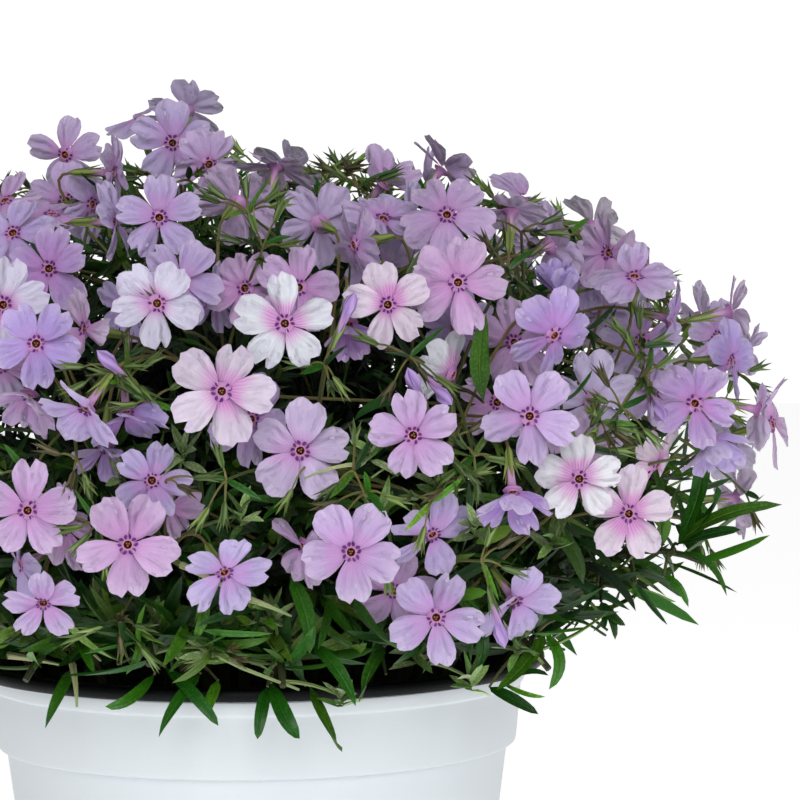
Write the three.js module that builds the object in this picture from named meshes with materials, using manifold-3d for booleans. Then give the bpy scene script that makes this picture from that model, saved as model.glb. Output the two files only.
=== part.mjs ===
// A potted creeping phlox: a mound of five-petalled blooms over narrow paired leaves, growing in a black
// grower pot that stands inside a white cover pot.
// Millimetres, +Z up. The origin is the centre of the cover pot's flat base, and -Y is the front.
// Every shoot is one solid, fused from its stem, its leaf pairs and its blooms. Each stem stands in its own
// hole in the potting mix.

import * as THREE from "three";
import { mergeVertices } from "three/addons/utils/BufferGeometryUtils.js";
import Module from "manifold-3d";

const wasm = await Module();
wasm.setup();

// ---- Driving dimensions ----

const GAP = 0.3; // clearance between pieces that touch
const ROUND_SIDES = 24; // facets of the pots and the potting mix

// Cover pot: a 6 inch pot with a rolled collar.
const POT_HEIGHT = 151.5;
const RIM_RADIUS = 76;
const COLLAR_HEIGHT = 21.5;
const BODY_TOP_RADIUS = 70.8;
const BASE_RADIUS = 54;
const COVER_WALL = 1.5;

// Grower pot: a thin black pot whose lip rests on the cover pot's rim.
const LIP_RADIUS = 81.6;
const LIP_HEIGHT = 3.6; // above the cover pot's rim
const GROWER_WALL = 1.2;
const GROWER_FLOOR = 6; // underside above the surface
const GROWER_BASE_RADIUS = 50;

const DRAIN_HOLES = 4;
const DRAIN_RADIUS = 4.5;
const DRAIN_CIRCLE = 36;

// Potting mix: a gently crowned top below the lip.
const SOIL_EDGE_DROP = 9.8; // below the lip's top
const SOIL_CROWN = 4;

// Shoots and blooms are laid out up from this level, a little below the rim.
const LEVEL = POT_HEIGHT - 5.5;

// The mound of shoots, as a rounded box-like dome.
const MOUND = { x: 152, y: 130, up: 90, down: 72, power: 2.3, centre: LEVEL + 60 };

// Blooms.
const TUBE_LENGTH = 8; // from the eye back to the calyx mouth
const TUBE_RADIUS = 1.0;
const CALYX_RADIUS = 1.6;
const PEDICEL_RADIUS = 0.6;
const THROAT_RADIUS_SHARE = 0.28; // gap between two petals, as a share of the bloom's radius
const NOTCH_SHARE = 0.9; // the notch in a petal's tip
const LOBE_ANGLE = 26; // degrees from a petal's midline to its shoulder
const EYE_RISE = 0.5;
const PETAL_ROOT = 1.0; // thickness below the eye

// Shoots.
const FLOWERING_SHOOTS = 32;
const FRONT_CROWDING = 0.3; // how much closer together the shoots stand towards the front
const ANCHORS = [0.96, 0.91, 0.86, 0.81, 0.76, 0.71, 0.66]; // where pedicels may stand along a stem
const STALK_CLEARANCE = 3.4; // between the middles of two pedicels
const STALK_SAMPLES = 6;
const TIP_DEPTH = 0.74; // a flowering tip's share of the way out to the mound's surface
const ROOT_DEPTH = 9; // stem below the potting mix's surface
const STEM_BASE_RADIUS = 2.0;
const STEM_TIP_RADIUS = 1.5;
const STEM_SIDES = 3;
const HOLE_MARGIN = 1.5; // how much wider a stem's hole is, corner to corner

const GOLDEN_ANGLE = Math.PI * (3 - Math.sqrt(5));
const DEG = Math.PI / 180;

// The front of the mound is laid out as it is seen from this point, one metre away.
const EYE_DISTANCE = 1000;
const EYE = new THREE.Vector3(0, -EYE_DISTANCE, LEVEL + 135);

// Blooms of the front: across and up from the axis at LEVEL, set back from the mound's surface, turned to the
// right, tilted up, rolled clockwise, petals folded forward, and diameter. Millimetres and degrees.
const FRONT_BLOOMS = [
  // crown of the mound, left
  [-52, 150, 0, -25, -10, 0, -5, 24],
  [-22, 153, 0, 0, 0, -3, 0, 25],
  [-18, 162, 25, 170, 40, 0, 5, 24],
  [-31, 160, 20, -60, 75, 10, 0, 24],
  [-39, 145, 12, 75, 0, 20, 10, 22],
  [-26, 132, 0, 5, 15, 0, 0, 24],
  [-57, 118, 4, -10, 10, 0, 5, 24],
  [-61, 97, 0, 5, 5, 36, 0, 24],
  [-27, 108, 0, 15, 5, 36, -5, 25],
  [-20, 114, 14, 10, 20, 30, 0, 24],
  [-69, 137, 16, -20, 50, 5, 0, 23],
  [-67, 128, 4, -10, 30, 15, 5, 23],
  [-56, 133, 8, 10, 70, 30, 0, 25],
  [-52, 137, 24, 0, 10, 0, 0, 24],
  [-45, 136, 18, 50, 0, 30, 0, 23],
  [-39, 131, 10, 70, 0, 0, 10, 22],
  [-70, 119, 16, -30, 0, 20, 0, 24],
  [-70, 108, 0, -10, 5, 10, 0, 25],
  [-12, 147, 18, 20, -10, 36, 0, 22],
  [-36, 107, 22, -30, 10, 10, 0, 20],
  [-47, 101, 8, -60, 10, 20, 15, 22],
  [-11, 110, 24, 40, 0, 20, 0, 20],
  // crown, middle
  [9, 102, -2, 0, 0, 0, 0, 27],
  [38, 107, 4, 10, 0, -15, 0, 24],
  [27, 102, 8, 0, -50, 0, 60, 20],
  [13, 112, 16, 0, 10, 10, 0, 24],
  [-2, 112, 20, -20, 10, 40, 0, 22],
  [7, 146, 10, 150, 60, 0, 0, 24],
  [-4, 136, 30, 160, 20, 20, 0, 26],
  [19, 130, 30, 200, 10, 40, 0, 25],
  [37, 141, 15, 60, 45, 20, 35, 24],
  [37, 131, 12, 20, 50, 0, 10, 23],
  [29, 124, 8, -60, -10, 30, -10, 25],
  [34, 120, 18, 30, 10, 10, 0, 24],
  [55, 132, 0, 0, 25, 36, 0, 27],
  [73, 133, 6, 170, 65, 0, 0, 24],
  [58, 113, 0, 0, 10, 18, 0, 27],
  [44, 130, 8, -40, 10, 10, 0, 24],
  [58, 101, 26, 0, -20, 0, 0, 22],
  // crown, right
  [84, 123, 8, 130, 10, 20, 0, 26],
  [101, 121, 10, -50, 10, 10, 20, 24],
  [108, 114, 4, 0, 55, 0, 0, 26],
  [118, 102, 4, 80, -15, 10, 0, 24],
  [135, 104, 10, 100, 10, 30, 20, 22],
  [131, 97, 14, 30, -10, 0, 0, 22],
  [139, 93, 16, 100, -20, 20, 10, 20],
  [86, 109, 4, 0, 70, 10, 65, 20],
  [85, 98, 0, 30, -25, 20, 0, 26],
  [74, 96, 10, -30, -10, 0, 0, 26],
  [94, 115, 24, 20, 0, 30, 0, 22],
  [97, 106, 34, 180, 0, 10, 0, 26],
  // middle of the front
  [-9, 83, -2, 0, 5, 20, 0, 28],
  [-1, 75, 12, 35, 0, 30, 0, 25],
  [13, 66, 0, 0, 0, 8, 0, 27],
  [-29, 58, 4, 0, 5, 20, 0, 21],
  [-64, 50, 2, -5, 0, 5, 0, 26],
  [-54, 45, 6, 50, 10, 20, 0, 24],
  [-36, 40, -2, 0, -5, 36, 0, 27],
  [27, 37, -2, 5, 5, 37, 0, 27],
  [14, 39, 18, -60, -25, 10, 15, 24],
  [-63, 83, 0, -30, -60, 10, 30, 23],
  [-47, 79, 0, -50, -45, 20, 25, 24],
  [-36, 78, 0, 10, -65, 0, 35, 25],
  [-42, 68, 8, -10, -65, 30, 40, 20],
  [-71, 91, 4, 0, 0, 15, 0, 24],
  [-25, 50, 18, 20, -20, 0, 0, 20],
  [45, 70, 0, -10, 0, -10, 0, 24],
  [78, 75, -2, 0, 5, 36, 0, 26],
  [56, 87, 6, 60, -20, 20, -20, 26],
  [92, 57, -2, -5, 5, 0, 0, 23],
  [106, 47, 0, 10, 0, 5, 0, 26],
  [114, 61, 4, 60, -30, 20, 0, 24],
  [125, 78, 0, 10, 20, 30, 0, 26],
  [96, 79, 22, 180, 0, 0, 0, 28],
  [135, 90, 4, 60, 0, 10, 0, 25],
  [143, 76, 0, 90, -15, 0, 15, 25],
  [129, 69, 0, 45, -60, 20, 45, 25],
  [92, 66, 18, 180, 30, 10, 0, 24],
  [73, 54, 0, 5, -60, 0, 45, 25],
  [50, 42, 0, 25, -35, 10, 10, 26],
  [69, 79, 18, -20, 10, 10, 0, 22],
  [110, 96, 24, 0, 0, 0, 0, 24],
  [113, 81, 16, -20, 0, 20, 0, 20],
  // low on the front
  [-60, 24, 0, 0, -30, 0, 15, 21],
  [-9, 32, 0, 25, -30, 10, 15, 24],
  [39, 26, 10, 0, -20, 10, 0, 25],
  [-66, 35, 6, -70, -20, 20, 0, 22],
  [51, 18, -2, 5, 15, 30, 0, 26],
  [73, 23, -2, 35, -40, 0, 20, 25],
];

// The sides and back are filled by rule, at this many places round the whole mound.
const ROUND_PLACES = 145;
const ROUND_LOWEST = 94; // degrees from straight up
const ROUND_SPACING = 27; // least distance between two bloom centres there
const FRONT_EDGE_Y = -42; // the rule fills what lies behind this line,
const FRONT_EDGE_X = -84; // and what lies left of this one

// A bloom that would run into one already placed is set back by steps until it is clear.
const SETTLE_STEP = 2.1;
const SETTLE_TRIES = 24;
const PETAL_CLEARANCE = 2.7;

// Leafy shoots that lie over the lip: direction round the pot in degrees, reach from its axis, and height of
// the tip above LEVEL.
const LEAFY_TIPS = [
  [-15, 128, 36],
  [-42, 104, 12],
  [-64, 101, 16],
  [-86, 96, 12],
  [-106, 100, 18],
  [-128, 98, 12],
  [-152, 108, 22],
  [-178, 116, 20],
  [155, 104, 12],
  [128, 110, 24],
  [101, 98, 14],
  [74, 106, 20],
  [46, 100, 12],
  [14, 112, 22],
];

const FLOWERING = {
  name: "flowering_shoot",
  pairs: [0.42, 0.6], // where the leaf pairs stand along the stem
  leafLength: 23,
  leafWidth: 4.6,
  rise: 42, // degrees a leaf stands up from square to the stem
  steps: 4, // straight stretches of the stem
};
const LEAFY = {
  name: "leafy_shoot",
  pairs: [0.5, 0.66, 0.82, 0.96],
  leafLength: 30,
  leafWidth: 5.6,
  rise: 34,
  steps: 5,
};
const LEAF_ROOT = 0.4; // how far a leaf's root lies past the stem's middle
const LEAF_KEEL = 1.6; // depth of the keel under the widest place
const LEAF_WIDEST = 0.36; // share of the length
const LEAF_DROOP = 20; // degrees the outer part of a leaf bends back

// ---- Small helpers ----

const UP = new THREE.Vector3(0, 0, 1);
const vec = (x, y, z) => new THREE.Vector3(x, y, z);
const polar = (radius, angle, z) => vec(radius * Math.cos(angle), radius * Math.sin(angle), z);

// a + b * s, as a new point.
const along = (a, b, s) => a.clone().addScaledVector(b, s);

// What is left of a direction square to another one, at unit length.
const squareTo = (v, axis) => along(v, axis, -v.dot(axis)).normalize();

// A repeatable number between low and high for thing i and use k.
function draw(i, k, low, high) {
  const wave = Math.sin(i * 12.9898 + k * 78.233) * 43758.5453;
  return low + (high - low) * (wave - Math.floor(wave));
}

// Point and direction at share t of a curve with one control point.
function curveAt([a, b, c], t) {
  const point = a.clone().multiplyScalar((1 - t) ** 2);
  point.addScaledVector(b, 2 * t * (1 - t)).addScaledVector(c, t * t);
  const heading = b.clone().sub(a).multiplyScalar(1 - t).addScaledVector(c.clone().sub(b), t);
  return { point, heading: heading.normalize() };
}

// ---- Solids ----

// A solid from points and triangles, turned the right way out.
function solidFrom(points, triangles) {
  let volume = 0;
  for (const [a, b, c] of triangles) {
    volume += points[a].dot(points[b].clone().cross(points[c]));
  }
  const outward = volume < 0 ? triangles.map(([a, b, c]) => [a, c, b]) : triangles;
  const mesh = new wasm.Mesh({
    numProp: 3,
    vertProperties: new Float32Array(points.flatMap((p) => p.toArray())),
    triVerts: new Uint32Array(outward.flat()),
  });
  return new wasm.Manifold(mesh);
}

// A three.js geometry as a solid, with the folded triangles on a lathe's axis left out.
function solidOf(geometry) {
  const bare = geometry.clone();
  bare.deleteAttribute("normal");
  bare.deleteAttribute("uv");
  const merged = mergeVertices(bare, 1e-4);
  const place = merged.getAttribute("position");
  const points = Array.from({ length: place.count }, (_, i) => vec(0, 0, 0).fromBufferAttribute(place, i));
  const triangles = [];
  for (let i = 0; i < merged.index.count; i += 3) {
    const [a, b, c] = merged.index.array.slice(i, i + 3);
    if (a !== b && b !== c && c !== a) triangles.push([a, b, c]);
  }
  return solidFrom(points, triangles);
}

// A closed skin over a row of rings. A ring of one point is a tip. Neighbouring rings may differ in number.
function loft(rings) {
  const triangles = [];
  let start = 0;
  for (let r = 0; r + 1 < rings.length; r++) {
    const n = rings[r].length;
    const m = rings[r + 1].length;
    const next = start + n;
    const steps = (n > 1 ? n : 0) + (m > 1 ? m : 0);
    for (let s = 0, i = 0, j = 0; s < steps; s++) {
      const from = start + (i % n);
      const to = next + (j % m);
      if (n > 1 && i < n && (m === 1 || (i + 1) / n <= (j + 1) / m)) {
        triangles.push([from, start + ((i + 1) % n), to]);
        i++;
      } else {
        triangles.push([from, next + ((j + 1) % m), to]);
        j++;
      }
    }
    start = next;
  }
  const first = rings[0].length;
  const last = rings[rings.length - 1].length;
  for (let i = 1; i + 1 < first; i++) triangles.push([0, i + 1, i]);
  for (let i = 1; i + 1 < last; i++) triangles.push([start, start + i, start + i + 1]);
  return solidFrom(rings.flat(), triangles);
}

// A ring of points round a centre, square to an axis, starting at the side that "side" points to.
function ring(centre, axis, side, radius, count, firstAngle = 0) {
  const across = axis.clone().cross(side);
  return Array.from({ length: count }, (_, i) => {
    const angle = firstAngle + (2 * Math.PI * i) / count;
    return along(along(centre, side, radius * Math.cos(angle)), across, radius * Math.sin(angle));
  });
}

const joined = (solids) => solids.reduce((whole, piece) => whole.add(piece));

function meshOf(name, solid, material) {
  const { vertProperties, triVerts } = solid.getMesh();
  const geometry = new THREE.BufferGeometry();
  geometry.setAttribute("position", new THREE.BufferAttribute(vertProperties, 3));
  geometry.setIndex(new THREE.BufferAttribute(triVerts, 1));
  geometry.computeVertexNormals();
  const mesh = new THREE.Mesh(geometry, material);
  mesh.name = name;
  return mesh;
}

// ---- Pots and potting mix ----

// A profile of [radius, height] turned round the Z axis.
function turned(profile) {
  const lathe = new THREE.LatheGeometry(profile.map(([r, z]) => new THREE.Vector2(r, z)), ROUND_SIDES);
  return solidOf(lathe.rotateX(Math.PI / 2));
}

// Drain holes on a circle, from one height to another.
function drainHoles(low, high) {
  return joined(
    Array.from({ length: DRAIN_HOLES }, (_, i) => {
      const hole = new THREE.CylinderGeometry(DRAIN_RADIUS, DRAIN_RADIUS, high - low, 6).rotateX(Math.PI / 2);
      const place = polar(DRAIN_CIRCLE, (2 * Math.PI * i) / DRAIN_HOLES, (low + high) / 2);
      return solidOf(hole.translate(place.x, place.y, place.z));
    }),
  );
}

function coverPot() {
  const foot = 2;
  const collarLow = POT_HEIGHT - COLLAR_HEIGHT;
  return turned([
    [0, 0],
    [BASE_RADIUS - 1.5, 0],
    [BASE_RADIUS, 1.5],
    [BODY_TOP_RADIUS - 0.3, collarLow - 0.5],
    [BODY_TOP_RADIUS + 0.6, collarLow + 0.2],
    [RIM_RADIUS - 2.8, collarLow + 3],
    [RIM_RADIUS - 0.8, POT_HEIGHT - 4.2],
    [RIM_RADIUS - 0.2, POT_HEIGHT - 4],
    [RIM_RADIUS, POT_HEIGHT],
    [RIM_RADIUS - COVER_WALL, POT_HEIGHT],
    [RIM_RADIUS - COVER_WALL - 1.4, POT_HEIGHT - 7],
    [BODY_TOP_RADIUS - COVER_WALL, collarLow - 1],
    [BASE_RADIUS - COVER_WALL, foot],
    [0, foot],
  ]);
}

const growerInner = (z) => {
  const share = (z - GROWER_FLOOR) / (POT_HEIGHT - 20 - GROWER_FLOOR);
  return GROWER_BASE_RADIUS - GROWER_WALL + share * (BODY_TOP_RADIUS - 3.5 - GROWER_BASE_RADIUS);
};

function growerPot() {
  const shoulder = POT_HEIGHT - 20;
  const lipTop = POT_HEIGHT + LIP_HEIGHT;
  const seat = POT_HEIGHT + GAP;
  const pot = turned([
    [0, GROWER_FLOOR],
    [GROWER_BASE_RADIUS, GROWER_FLOOR],
    [growerInner(shoulder) + GROWER_WALL, shoulder],
    [RIM_RADIUS - COVER_WALL - 2.3, POT_HEIGHT - 5],
    [RIM_RADIUS - COVER_WALL - 0.6, seat],
    [RIM_RADIUS + 1, seat],
    [LIP_RADIUS - 0.8, POT_HEIGHT + 0.8],
    [LIP_RADIUS, POT_HEIGHT + 2],
    [LIP_RADIUS - 0.8, lipTop],
    [LIP_RADIUS - 6, lipTop],
    [RIM_RADIUS - COVER_WALL - 2, POT_HEIGHT],
    [RIM_RADIUS - COVER_WALL - 3.6, POT_HEIGHT - 5],
    [growerInner(shoulder), shoulder],
    [growerInner(GROWER_FLOOR + GROWER_WALL), GROWER_FLOOR + GROWER_WALL],
    [0, GROWER_FLOOR + GROWER_WALL],
  ]);
  return pot.subtract(drainHoles(GROWER_FLOOR - 1, GROWER_FLOOR + GROWER_WALL + 0.2));
}

const SOIL_EDGE = POT_HEIGHT + LIP_HEIGHT - SOIL_EDGE_DROP;
const SOIL_RADIUS = RIM_RADIUS - COVER_WALL - 4.4;

// Height of the potting mix at a distance from the axis.
const soilHeight = (r) => SOIL_EDGE + SOIL_CROWN * (1 - (r / SOIL_RADIUS) ** 2);

function pottingMix(stemHoles) {
  const shoulder = POT_HEIGHT - 20;
  const floor = GROWER_FLOOR + GROWER_WALL + GAP;
  const mix = turned([
    [0, floor],
    [growerInner(floor) - 1, floor],
    [growerInner(shoulder) - 0.6, shoulder],
    [SOIL_RADIUS - 0.8, SOIL_EDGE - 1.5],
    [SOIL_RADIUS, SOIL_EDGE],
    [0, soilHeight(0)],
  ]);
  return mix.subtract(stemHoles);
}

// ---- Where the shoots and blooms stand ----

// Share of the mound's surface that a point, given from the mound's centre, has reached.
function moundShare(x, y, z) {
  const height = z > 0 ? MOUND.up : MOUND.down;
  const sum = (v, size) => Math.abs(v / size) ** MOUND.power;
  return (sum(x, MOUND.x) + sum(y, MOUND.y) + sum(z, height)) ** (1 / MOUND.power);
}

const MOUND_CENTRE = vec(0, 0, MOUND.centre);

// Directions spread evenly from the top of a ball down to a lowest angle.
function roundPlaces(count, lowest) {
  return Array.from({ length: count }, (_, i) => {
    const height = 1 - (1 - Math.cos(lowest * DEG)) * ((i + 0.5) / count);
    return polar(Math.sqrt(1 - height * height), i * GOLDEN_ANGLE, height);
  });
}

const onMound = (d, depth) => along(MOUND_CENTRE, d, depth / moundShare(d.x, d.y, d.z));

// The way a bloom looks: straight to the front, then turned to the right and tilted up, in degrees.
function facingOf(turn, tilt) {
  const level = Math.cos(tilt * DEG);
  return vec(level * Math.sin(turn * DEG), -level * Math.cos(turn * DEG), Math.sin(tilt * DEG));
}

// A front bloom lies on the line of sight through its place, as far forward as the mound's surface less its
// inset.
function frontBloom([across, up, inset, turn, tilt, roll, fold, diameter]) {
  const seen = vec(across, 0, LEVEL + up);
  const rest = 1 - moundShare(across, 0, seen.z - MOUND.centre) ** MOUND.power;
  const forward = MOUND.y * Math.max(rest, 0) ** (1 / MOUND.power) - inset;
  const inward = seen.clone().sub(EYE).normalize();
  const centre = seen.lerp(EYE, forward / EYE_DISTANCE);
  const facing = facingOf(turn, tilt);
  return { centre, inward, inset, facing, roll, fold, radius: diameter / 2, notched: true };
}

// The blooms of the sides and back face outwards and a little up, each turned its own way.
function roundBloom(d, i) {
  const swing = vec(draw(i, 2, -0.45, 0.45), draw(i, 3, -0.45, 0.45), draw(i, 4, -0.3, 0.5));
  const facing = vec(d.x, d.y, 0.7 * d.z).add(swing);
  return {
    centre: onMound(d, draw(i, 1, 0.9, 1.0)),
    inward: d.clone().negate(),
    facing: facing.normalize(),
    roll: draw(i, 5, 0, 72),
    fold: draw(i, 6, -8, 18),
    radius: draw(i, 7, 11.2, 13.2),
    notched: false,
  };
}

const behindFront = ({ centre }) => centre.y > FRONT_EDGE_Y || centre.x < FRONT_EDGE_X;

// A bloom's petals as a flat disc, and its tube and calyx as a line behind it. A folded bloom's petals reach
// forward of its middle, so its disc lies half way up them.
function discOf({ centre, facing, fold, radius }) {
  const tilt = fold * DEG;
  return {
    middle: along(centre, facing, 0.5 * radius * Math.sin(tilt)),
    facing,
    reach: radius * Math.cos(tilt) + PETAL_CLEARANCE,
    back: along(centre, facing, -TUBE_LENGTH * 1.5),
  };
}

// Two discs cross where the lines that each cuts in the other's plane overlap.
function discsCross(a, b) {
  const gap = b.middle.clone().sub(a.middle);
  const line = a.facing.clone().cross(b.facing);
  const slant = line.length();
  if (slant < 0.1) return Math.abs(gap.dot(a.facing)) < 2 && gap.length() < a.reach + b.reach;
  const awayA = Math.abs(gap.dot(b.facing)) / slant;
  const awayB = Math.abs(gap.dot(a.facing)) / slant;
  if (awayA >= a.reach || awayB >= b.reach) return false;
  const halfA = Math.sqrt(a.reach ** 2 - awayA ** 2);
  const halfB = Math.sqrt(b.reach ** 2 - awayB ** 2);
  return Math.abs(gap.dot(line)) / slant < halfA + halfB;
}

// The straight line between two points runs through a disc.
function piercesDisc(from, to, disc) {
  const before = from.clone().sub(disc.middle).dot(disc.facing);
  const after = to.clone().sub(disc.middle).dot(disc.facing);
  if (before * after > 0) return false;
  return from.clone().lerp(to, before / (before - after)).distanceTo(disc.middle) < disc.reach;
}

const tubeCrosses = (a, b) => piercesDisc(a.middle, a.back, b);

// Moves a bloom back by steps until it clears those already placed. False where it never does.
function settle(bloom, placed) {
  for (let i = 0; i <= SETTLE_TRIES; i++) {
    const disc = discOf(bloom);
    if (!placed.some((b) => discsCross(disc, b) || tubeCrosses(disc, b) || tubeCrosses(b, disc))) {
      bloom.disc = disc;
      placed.push(disc);
      return true;
    }
    bloom.centre.addScaledVector(bloom.inward, SETTLE_STEP);
  }
  return false;
}

// All blooms: the front ones from the outermost in, then the rest where there is room.
function placedBlooms() {
  const front = FRONT_BLOOMS.map(frontBloom).sort((a, b) => a.inset - b.inset);
  const placed = [];
  const kept = front.filter((bloom) => settle(bloom, placed));
  for (const bloom of roundPlaces(ROUND_PLACES, ROUND_LOWEST).map(roundBloom).filter(behindFront)) {
    const near = kept.some((b) => b.centre.distanceTo(bloom.centre) < ROUND_SPACING);
    if (!near && settle(bloom, placed)) kept.push(bloom);
  }
  return kept;
}

// Stems as curves from the potting mix to their tips.
function floweringStems() {
  return roundPlaces(FLOWERING_SHOOTS, 104).map((even, i) => {
    const fromFront = Math.atan2(even.x, -even.y);
    const azimuth = fromFront - FRONT_CROWDING * Math.sin(fromFront) - Math.PI / 2;
    const d = polar(Math.hypot(even.x, even.y), azimuth, even.z);
    const tip = onMound(d, TIP_DEPTH);
    const radius = 52 * Math.sqrt((i + 0.5) / FLOWERING_SHOOTS);
    const foot = polar(radius, azimuth, soilHeight(radius) - ROOT_DEPTH);
    const bend = vec(
      foot.x + 0.25 * (tip.x - foot.x),
      foot.y + 0.25 * (tip.y - foot.y),
      foot.z + 0.75 * (tip.z - foot.z),
    );
    return [foot, bend, tip];
  });
}

function leafyStems() {
  return LEAFY_TIPS.map(([azimuth, reach, height]) => {
    const angle = azimuth * DEG;
    const tip = polar(reach, angle, LEVEL + height);
    const foot = polar(62, angle, soilHeight(62) - ROOT_DEPTH);
    return [foot, polar(0.68 * reach + 6, angle, LEVEL + 34 + 0.5 * height), tip];
  });
}

// ---- A shoot's pieces ----

const aroundAxis = (p) => vec(-p.y, p.x, 0).normalize();

// The rings of a stem and of its hole all lie square to the line from its foot to its tip, so that facets
// are flat.
function stemRing(curve, centre, radius) {
  const chord = curve[2].clone().sub(curve[0]).normalize();
  return ring(centre, chord, squareTo(aroundAxis(curve[2]), chord), radius, STEM_SIDES);
}

function stemSolid({ curve, habit: { steps } }) {
  const rings = Array.from({ length: steps + 1 }, (_, i) => {
    const t = i / steps;
    const radius = STEM_BASE_RADIUS + t * (STEM_TIP_RADIUS - STEM_BASE_RADIUS);
    return stemRing(curve, curveAt(curve, t).point, radius);
  });
  return loft(rings);
}

// The middle of a stem at share t, on the straight stretches between its rings.
function stemMiddle({ curve, habit: { steps } }, t) {
  const before = Math.floor(t * steps);
  const from = curveAt(curve, before / steps).point;
  return from.lerp(curveAt(curve, (before + 1) / steps).point, t * steps - before);
}

// The hole that a stem stands in: straight, along the stem's first stretch, and wider than the stem.
function stemHole({ curve, habit: { steps } }) {
  const from = curve[0];
  const heading = curveAt(curve, 1 / steps).point.sub(from).normalize();
  const radius = STEM_BASE_RADIUS + HOLE_MARGIN;
  return loft([
    stemRing(curve, along(from, heading, -HOLE_MARGIN), radius),
    stemRing(curve, along(from, heading, 2 * ROOT_DEPTH), radius),
  ]);
}

// A leaf from inside the stem out to its widest place and on to its tip, three-sided with the keel below.
function leafSolid(point, heading, out, length, width, lift) {
  const across = heading.clone().cross(out);
  const towards = (angle) =>
    out.clone().multiplyScalar(Math.cos(angle)).addScaledVector(heading, Math.sin(angle));
  const wide = along(point, towards(lift * DEG), LEAF_WIDEST * length);
  const edges = [along(wide, across, width / 2), along(wide, across, -width / 2)];
  const keel = along(wide, heading, -LEAF_KEEL);
  const tip = along(wide, towards((lift - LEAF_DROOP) * DEG), (1 - LEAF_WIDEST) * length);
  return loft([[along(point, out, -LEAF_ROOT)], [...edges, keel], [tip]]);
}

// The two opposite leaves of one node of a stem. Each pair stands crosswise to the one below.
function leafPair(shoot, t, pairNumber, seed) {
  const { habit, curve } = shoot;
  const point = stemMiddle(shoot, t);
  const { heading } = curveAt(curve, t);
  const first = squareTo(aroundAxis(curve[2]), heading);
  const second = heading.clone().cross(first);
  const angle = (90 * pairNumber + draw(seed, 1, 20, 70)) * DEG;
  const out = first.multiplyScalar(Math.cos(angle)).addScaledVector(second, Math.sin(angle));
  return [1, -1].map((sign) => {
    const length = habit.leafLength * draw(seed, 4 + sign, 0.85, 1.15);
    const lift = habit.rise + draw(seed, 7 + sign, -10, 10);
    return leafSolid(point, heading, out.clone().multiplyScalar(sign), length, habit.leafWidth, lift);
  });
}

// One bloom: five notched petals that thin to their edges, the tube and calyx behind them, and the pedicel,
// which runs from the bloom's back to a place on its stem.
function bloomSolid({ centre, facing, roll, fold, radius, notched }, anchor) {
  const away = facing.clone().negate();
  let side = squareTo(Math.abs(facing.z) < 0.95 ? UP : vec(0, 1, 0), facing);
  const right = side.clone().cross(facing);
  const edge = (share, angle) => {
    const reach = share * radius;
    const out = side.clone().multiplyScalar(Math.cos(angle * DEG));
    out.addScaledVector(right, Math.sin(angle * DEG));
    return along(along(centre, facing, reach * Math.sin(fold * DEG)), out, reach * Math.cos(fold * DEG));
  };
  const outline = Array.from({ length: 5 }, (_, k) => roll + 72 * k).flatMap((middle) => [
    edge(THROAT_RADIUS_SHARE, middle - 36),
    edge(1, middle - LOBE_ANGLE),
    ...(notched ? [edge(NOTCH_SHARE, middle)] : []),
    edge(1, middle + LOBE_ANGLE),
  ]);
  const calyx = along(centre, away, TUBE_LENGTH);
  const start = (roll - 36) * DEG;
  const rings = [[along(centre, facing, EYE_RISE)], outline];
  const lean = anchor.clone().sub(calyx).normalize().add(away).normalize();
  const stations = [
    { point: along(centre, away, PETAL_ROOT), heading: away, radius: TUBE_RADIUS },
    { point: calyx, heading: lean, radius: CALYX_RADIUS },
    { point: anchor, heading: lean, radius: PEDICEL_RADIUS },
  ];
  for (const station of stations) {
    side = squareTo(side, station.heading);
    rings.push(ring(station.point, station.heading, side, station.radius, 3, start));
  }
  return loft(rings);
}

// ---- The plant ----

const blooms = placedBlooms();
const shoots = [
  ...floweringStems().map((curve, i) => ({ number: i + 1, curve, habit: FLOWERING, blooms: [] })),
  ...leafyStems().map((curve, i) => ({ number: i + 1, curve, habit: LEAFY, blooms: [] })),
];

// A pedicel from a bloom's back to an anchor, as points from end to end.
const stalkPoints = (from, to) =>
  Array.from({ length: STALK_SAMPLES }, (_, i) => from.clone().lerp(to, i / (STALK_SAMPLES - 1)));

// Whether a pedicel would stay clear of every other bloom's petals and of the pedicels that stand already.
function stalkIsClear(bloom, anchor, stalks) {
  const { back } = bloom.disc;
  if (blooms.some((other) => other !== bloom && piercesDisc(back, anchor, other.disc))) return false;
  const points = stalkPoints(back, anchor).slice(0, -1);
  return stalks.every((stalk) => points.every((p) => stalk.every((q) => p.distanceTo(q) > STALK_CLEARANCE)));
}

// Each bloom grows from the nearest free anchor that its pedicel reaches in the clear. Bending back counts
// as far.
const anchors = shoots
  .filter((shoot) => shoot.habit === FLOWERING)
  .flatMap((shoot) => ANCHORS.map((t) => ({ shoot, point: stemMiddle(shoot, t) })));
const stalks = [];
for (const bloom of blooms) {
  const cost = ({ point }) => {
    const way = point.clone().sub(bloom.disc.back);
    return 2 * way.length() + way.dot(bloom.facing);
  };
  anchors.sort((a, b) => cost(a) - cost(b));
  const clear = anchors.findIndex(({ point }) => stalkIsClear(bloom, point, stalks));
  const [{ shoot, point }] = anchors.splice(Math.max(clear, 0), 1);
  stalks.push(stalkPoints(bloom.disc.back, point));
  shoot.blooms.push({ bloom, anchor: point });
}

for (const shoot of shoots) {
  shoot.parts = [stemSolid(shoot), ...shoot.blooms.map(({ bloom, anchor }) => bloomSolid(bloom, anchor))];
}

// Shoots whose blooms touch have grown together, and are one piece.
function groupsOf(all) {
  const groups = [];
  for (const shoot of all) {
    const touching = groups.filter((group) => group.some((other) => partsTouch(shoot, other)));
    for (const group of touching) groups.splice(groups.indexOf(group), 1);
    groups.push([...touching.flat(), shoot]);
  }
  return groups;
}

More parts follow.
